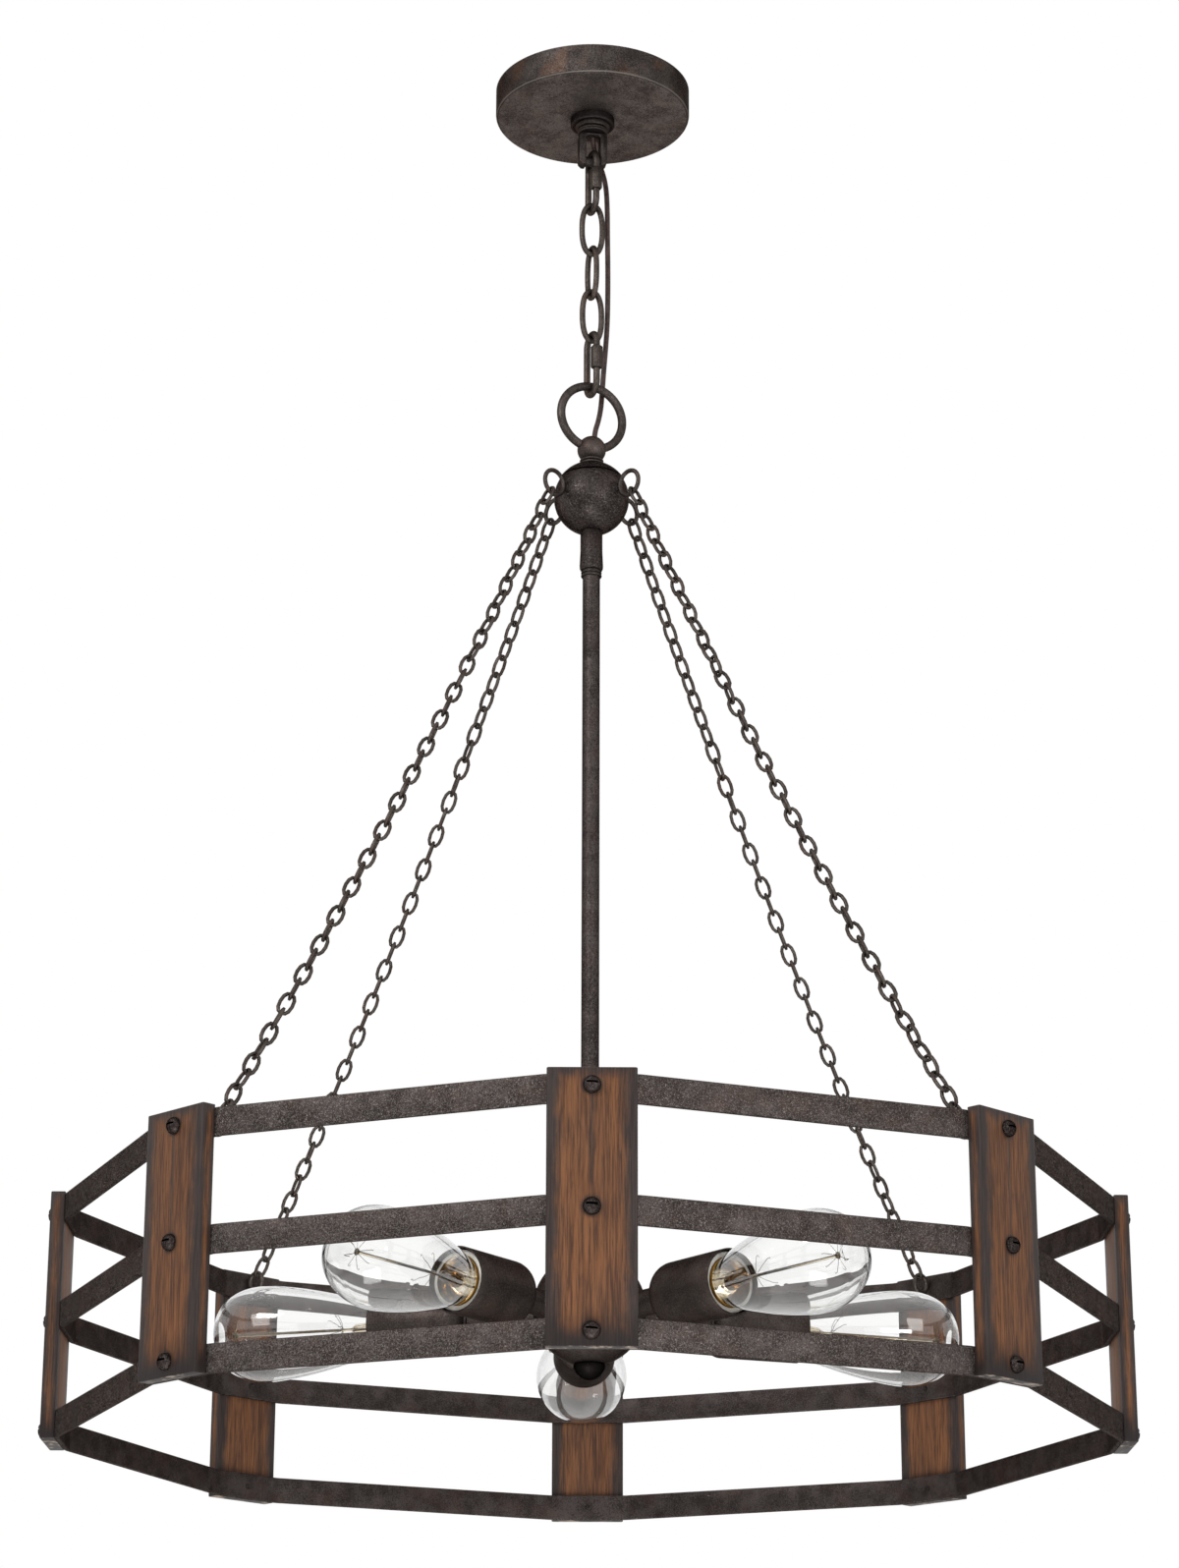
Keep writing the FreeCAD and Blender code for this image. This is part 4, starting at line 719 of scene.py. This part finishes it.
# Around each screw head the board is darkened: partly a stain, partly painted shade where the head
# meets the board.
for hoop_height in HOOP_HEIGHTS:
    screw_spot = (0.0, 0.0, (hoop_height - STAVE_MIDDLE) * 0.001)
    away = add_node(tree, "VectorMath", {0: given["Board"], 1: screw_spot},
                    operation="SUBTRACT").outputs[0]
    flat = add_node(tree, "VectorMath", {0: away, 1: (1.0, 0.0, 1.0)},
                    operation="MULTIPLY").outputs[0]
    reach = add_node(tree, "VectorMath", {0: flat}, operation="LENGTH").outputs["Value"]
    burn_and_shade = sums(tree, "MAXIMUM", burn_and_shade, between(tree, reach, 0.0045, 0.0072, 0.75, 0.0))
burnt_and_shade_colour = over(tree, between(tree, fibre, 0.35, 0.65), paint(37, 30, 28), paint(54, 44, 41))
# Pale marks on both end faces: light end grain, and partly a painted highlight along the lit edge.
from_end = sums(tree, "SUBTRACT", given["Half Height"], sums(tree, "ABSOLUTE", axes[2]))
end_grain_and_glint = sums(tree, "MULTIPLY", between(tree, from_end, 0.0002, 0.0, 0.0, 0.8),
                 between(tree, wobble, 0.5, 0.62))
colour = over(tree, burn_and_shade, colour, burnt_and_shade_colour)
colour = over(tree, between(tree, from_foot, 0.002, 0.026, 0.7, 0.0), colour, paint(24, 18, 17))
tree.links.new(over(tree, end_grain_and_glint, colour, paint(150, 134, 120)), made["Colour"])
tree.links.new(sums(tree, "ADD", fibre, sums(tree, "MULTIPLY", streak, 0.6)), made["Height"])
tree.links.new(between(tree, burn_and_shade, 0.0, 1.0, 0.62, 0.5), made["Roughness"])

board_coat, tree, shader, place = new_material("stained_oak", {"Specular IOR Level": 0.22})
board_spot = add_node(tree, "Attribute", attribute_name="board").outputs["Vector"]
lot_spot = add_node(tree, "Attribute", attribute_name="lot").outputs["Vector"]
half_wide, half_deep, half_high = (size * 0.0005 for size in STAVE_SIZE)
wood = use_group(tree, stained_board, {
    "Board": board_spot, "Lot": lot_spot, "Half Width": half_wide, "Half Depth": half_deep,
    "Half Height": half_high})
tree.links.new(wood["Colour"], shader["Base Color"])
tree.links.new(wood["Roughness"], shader["Roughness"])
roughen(tree, shader, wood["Height"], 0.35, 0.0003)
STAVE_NAMES = ("front", "front_right", "right", "back_right", "back", "back_left", "left",
               "front_left")
for i, name in enumerate(STAVE_NAMES):
    bm = bmesh.new()
    bmesh.ops.create_cube(bm, size=1.0, matrix=Matrix.Diagonal((*STAVE_SIZE, 1.0)))
    outer_edges = [e for e in bm.edges if all(v.co.y < 0 for v in e.verts)
                   and abs(e.verts[0].co.x - e.verts[1].co.x) < 1.0]
    bmesh.ops.bevel(bm, geom=outer_edges, offset=1.3, offset_type="OFFSET", segments=3, profile=0.5,
                    affect="EDGES", clamp_overlap=True, material=-1)
    soften(bm, 0.5, 2, 50.0)
    outwards = compass(270.0 + 45.0 * i)
    seat = standing(outwards * (STAVE_OUTER - STAVE_SIZE[1] / 2) + UP * STAVE_MIDDLE,
                    -outwards.cross(UP), UP)
    spots = [v.co * 0.001 for v in bm.verts]
    bmesh.ops.transform(bm, matrix=seat, verts=bm.verts)
    piece = finish("board_" + name, bm, board_coat, "fixture", "walnut_board", "stave_" + name)
    for label, shift in (("board", 0.0), ("lot", 0.31 * (i + 1))):
        layer = piece.data.attributes.new(label, "FLOAT_VECTOR", "POINT")
        layer.data.foreach_set("vector", [c for x, y, z in spots for c in (x, y + shift, z)])

# Screws: round-headed iron screws with a narrow driver slot, through each board and
# hoop; their ends stand a hair proud inside the hoops.
screw_coat = iron_finish("screw_coat", (62, 55, 53), (34, 29, 28), (60, 48, 44), (140, 132, 128),
                         1100.0, rust_share=0.15, fleck_share=0.25, relief=0.9, slot_shade="slot_shade")
HEAD_RADIUS, HEAD_HIGH = 4.9, 4.2
head = turned([(0, STAVE_OUTER - 0.2), (4.7, STAVE_OUTER - 0.2), (HEAD_RADIUS, STAVE_OUTER + 0.5),
               (4.8, STAVE_OUTER + 1.3), (4.45, STAVE_OUTER + 2.2), (3.8, STAVE_OUTER + 3.1),
               (2.8, STAVE_OUTER + 3.75), (1.5, STAVE_OUTER + 4.1), (0, STAVE_OUTER + HEAD_HIGH)], 28)
SLOT_AT, SLOT_HALF, SLOT_LONG = 0.8, 0.6, 3.2
for spot, way in (((SLOT_AT - SLOT_HALF, 0, 0), (1, 0, 0)),
                  ((SLOT_AT + SLOT_HALF, 0, 0), (1, 0, 0)),
                  ((0, -SLOT_LONG, 0), (0, 1, 0)), ((0, SLOT_LONG, 0), (0, 1, 0))):
    bmesh.ops.bisect_plane(head, geom=head.verts[:] + head.edges[:] + head.faces[:], dist=0.0001,
                           plane_co=spot, plane_no=way)
slot_faces = [f for f in head.faces if f.calc_center_median().z > STAVE_OUTER + 1.0
              and abs(f.calc_center_median().x - SLOT_AT) < SLOT_HALF
              and abs(f.calc_center_median().y) < SLOT_LONG]
grown = bmesh.ops.extrude_face_region(head, geom=slot_faces)["geom"]
bmesh.ops.delete(head, geom=slot_faces, context="FACES")
bmesh.ops.translate(head, vec=(0, 0, -2.0),
                    verts=[v for v in grown if isinstance(v, bmesh.types.BMVert)])
# The faces inside each driver slot are marked to be painted near black: painted shade in the slot.
slot_shade = head.faces.layers.float.new("slot_shade")
for face in head.faces:
    middle = face.calc_center_median()
    inside = abs(middle.x - SLOT_AT) < SLOT_HALF + 0.01 and abs(middle.y) < SLOT_LONG + 0.01
    face[slot_shade] = 1.0 if inside and middle.z > STAVE_OUTER and face.calc_area() > 0 else 0.0
bmesh.ops.create_cone(head, cap_ends=True, segments=16, radius1=2.1, radius2=2.1, depth=12.2,
                      matrix=Matrix.Translation((0, 0, STAVE_OUTER - 6.1)))
screw_places = []
for height in HOOP_HEIGHTS:
    for i in range(8):
        way = compass(270.0 + 45.0 * i)
        tilt = Matrix.Rotation(math.radians((37 * i + int(-height)) % 11 - 5), 4, "Z")
        screw_places.append(standing(UP * height, UP, way) @ tilt)
finish("round_head_screws", copies(head, screw_places), screw_coat, "fixture", "hammered_iron",
       "stave_screws", crease=40.0)

# Side chains: four runs of small oval links, each a quarter turn from the next. They
# hook the ball's eyes at the top and small eyes brazed inside the top hoop below.
HOOP_EYE_RADIUS, HOOP_EYE_WIRE = 6.05, 1.45
WIRE_TO_BAND, EYE_ABOVE_BAND = 1.285, 1.7
END_WIRE = 2 * HOOP_EYE_WIRE
BAND_INNER = BAND_OUTER - BAND_THICK
hoop_eye_reach = BAND_INNER - HOOP_EYE_RADIUS - WIRE_TO_BAND
eye_height = HOOP_HEIGHTS[0] + BAND_HIGH / 2 + EYE_ABOVE_BAND - (HOOP_EYE_RADIUS + HOOP_EYE_WIRE)
# For each chain: the stave its eye stands by, its way from the ball, and the eye's
# distance along the hoop from the stave's middle.
EYE_PLACES = {"front_left": (7, 225, 13.0), "front_right": (1, 315, -13.0),
              "back_right": (3, 45, -5.0), "back_left": (5, 135, 5.0)}
small_coat = iron_finish("small_chain_coat", (88, 81, 76), (62, 56, 53), (84, 64, 56),
                         rust_share=0.3, fleck_share=0.1, relief=0.25, tint=0.5)
CHAIN_WIRE, CHAIN_CLEAR, CHAIN_LINKS, CHAIN_SAG = 2.4, 0.25, 45, 7.0
LINK_WIDE, TWIST_FROM = 10.2, 9


def ease(value):
    value = min(max(value, 0.0), 1.0)
    return value * value * (3 - 2 * value)


hoop_eye_spots = []
for name, (index, azimuth, offset) in EYE_PLACES.items():
    outwards, along = compass(270.0 + 45.0 * index), compass(360.0 + 45.0 * index)
    low_eye = outwards * hoop_eye_reach + along * offset + UP * eye_height
    hoop_eye_spots.append(standing(low_eye, outwards, UP))
    top_eye = compass(azimuth) * BALL_EYE_REACH + UP * BALL_EYE_HEIGHT
    line = (low_eye - top_eye).normalized()
    start = top_eye + line * BALL_EYE_RADIUS
    stop = low_eye - line * HOOP_EYE_RADIUS
    span = (stop - start).length
    sideways = line.cross(UP).normalized()
    inwards = line.cross(sideways).normalized()
    if inwards.z > 0:
        inwards = -inwards
    run = span * (1 + 8.0 / 3.0 * (CHAIN_SAG / span) ** 2)
    pitch = (run + END_WIRE + CHAIN_CLEAR) / CHAIN_LINKS
    first = (pitch + CHAIN_CLEAR + CHAIN_WIRE) / 2 - (END_WIRE + CHAIN_WIRE) / 2 - CHAIN_CLEAR
    places = []
    for k in range(CHAIN_LINKS):
        t = (first + pitch * k) / run
        spot = start + line * (span * t) + inwards * (CHAIN_SAG * 4 * t * (1 - t))
        down = (line * span + inwards * (CHAIN_SAG * 4 * (1 - 2 * t))).normalized()
        left = CHAIN_LINKS - 1 - k
        twist = 45.0 * ease((k - TWIST_FROM) / TWIST_FROM) * ease(left / (TWIST_FROM + 2.0))
        turn = math.radians(twist + 90.0 * (k % 2))
        across = (sideways - down * sideways.dot(down)).normalized()
        across = across * math.cos(turn) + down.cross(across) * math.sin(turn)
        places.append(standing(spot, across, down))
    small_link = oval((LINK_WIDE - CHAIN_WIRE) / 2, (pitch + CHAIN_CLEAR + CHAIN_WIRE) / 2,
                      CHAIN_WIRE / 2, 5, 12, bow=2.3)
    finish("small_chain_" + name, copies(small_link, places), small_coat, "fixture", "hammered_iron",
           "side_chain_" + name, crease=75.0)
small_eye = hoop_of_wire(HOOP_EYE_RADIUS, HOOP_EYE_WIRE, 10, 24)
finish("hoop_wire_eyes", copies(small_eye, hoop_eye_spots), small_coat, "fixture", "hammered_iron",
       "hoop_eyes")

# Studio: a plain pale floor well below the lamp, a white surround, three soft boxes
# (left, right and low) and the camera below the drum, looking up.
floor_paint, tree, shader, place = new_material("floor_paint", {"Roughness": 0.9,
                                                                "Specular IOR Level": 0.1})
tree.links.new(over(tree, speckle(tree, place, 3.0, 3.0), (0.84, 0.84, 0.83, 1.0),
                    (0.9, 0.9, 0.89, 1.0)), shader["Base Color"])
FLOOR_HEIGHT, LIGHTS_AIM = -2.4, Vector((0, 0, -0.6))
ground = bmesh.new()
bmesh.ops.create_grid(ground, x_segments=8, y_segments=8, size=9.0,
                      matrix=Matrix.Translation((0, 0, FLOOR_HEIGHT)))
floor_mesh = bpy.data.meshes.new("studio_floor")
ground.to_mesh(floor_mesh)
ground.free()
floor_mesh.materials.append(floor_paint)
floor = bpy.data.objects.new("studio_floor", floor_mesh)
bpy.context.scene.collection.objects.link(floor)

world = bpy.data.worlds.new("studio_white")
bpy.context.scene.world = world
world.use_nodes = True
tree = world.node_tree
rays = add_node(tree, "LightPath").outputs
seen = sums(tree, "MAXIMUM", rays["Is Camera Ray"],
            sums(tree, "MAXIMUM", rays["Is Glossy Ray"], rays["Is Transmission Ray"]))
glow = tree.nodes["Background"]
glow.inputs["Color"].default_value = (1.0, 1.0, 1.0, 1.0)
tree.links.new(add_node(tree, "MapRange", {"Value": seen, "To Min": 0.8, "To Max": 1.0}).outputs[0],
               glow.inputs["Strength"])

for name, spot, size, power in (("soft_box_left", (-1.15, -1.65, 0.45), 0.45, 15.0),
                                ("soft_box_right", (1.2, -1.95, -0.62), 0.4, 11.0),
                                ("soft_box_low", (-0.1, -1.0, -2.1), 1.0, 16.0)):
    lamp = bpy.data.lights.new(name, "AREA")
    lamp.shape = "SQUARE"
    lamp.size = size
    lamp.energy = power
    light = bpy.data.objects.new(name, lamp)
    light.location = spot
    light.rotation_euler = (LIGHTS_AIM - Vector(spot)).to_track_quat("-Z", "Y").to_euler()
    bpy.context.scene.collection.objects.link(light)

lens = bpy.data.cameras.new("camera")
lens.lens = 87.585
lens.clip_end = 60.0
CAMERA_SPOT = (-0.0079, -2.28605, -1.27311)
CAMERA_TURN, CAMERA_RISE, CAMERA_ROLL = -0.0031, 0.3289, 0.0027
camera = bpy.data.objects.new("camera", lens)
camera.matrix_world = (Matrix.Translation(CAMERA_SPOT)
                       @ Matrix.Rotation(CAMERA_TURN, 4, "Z")
                       @ Matrix.Rotation(math.pi / 2 + CAMERA_RISE, 4, "X")
                       @ Matrix.Rotation(CAMERA_ROLL, 4, "Z"))
bpy.context.scene.collection.objects.link(camera)
bpy.context.scene.camera = camera
bpy.context.scene.view_settings.view_transform = "Standard"
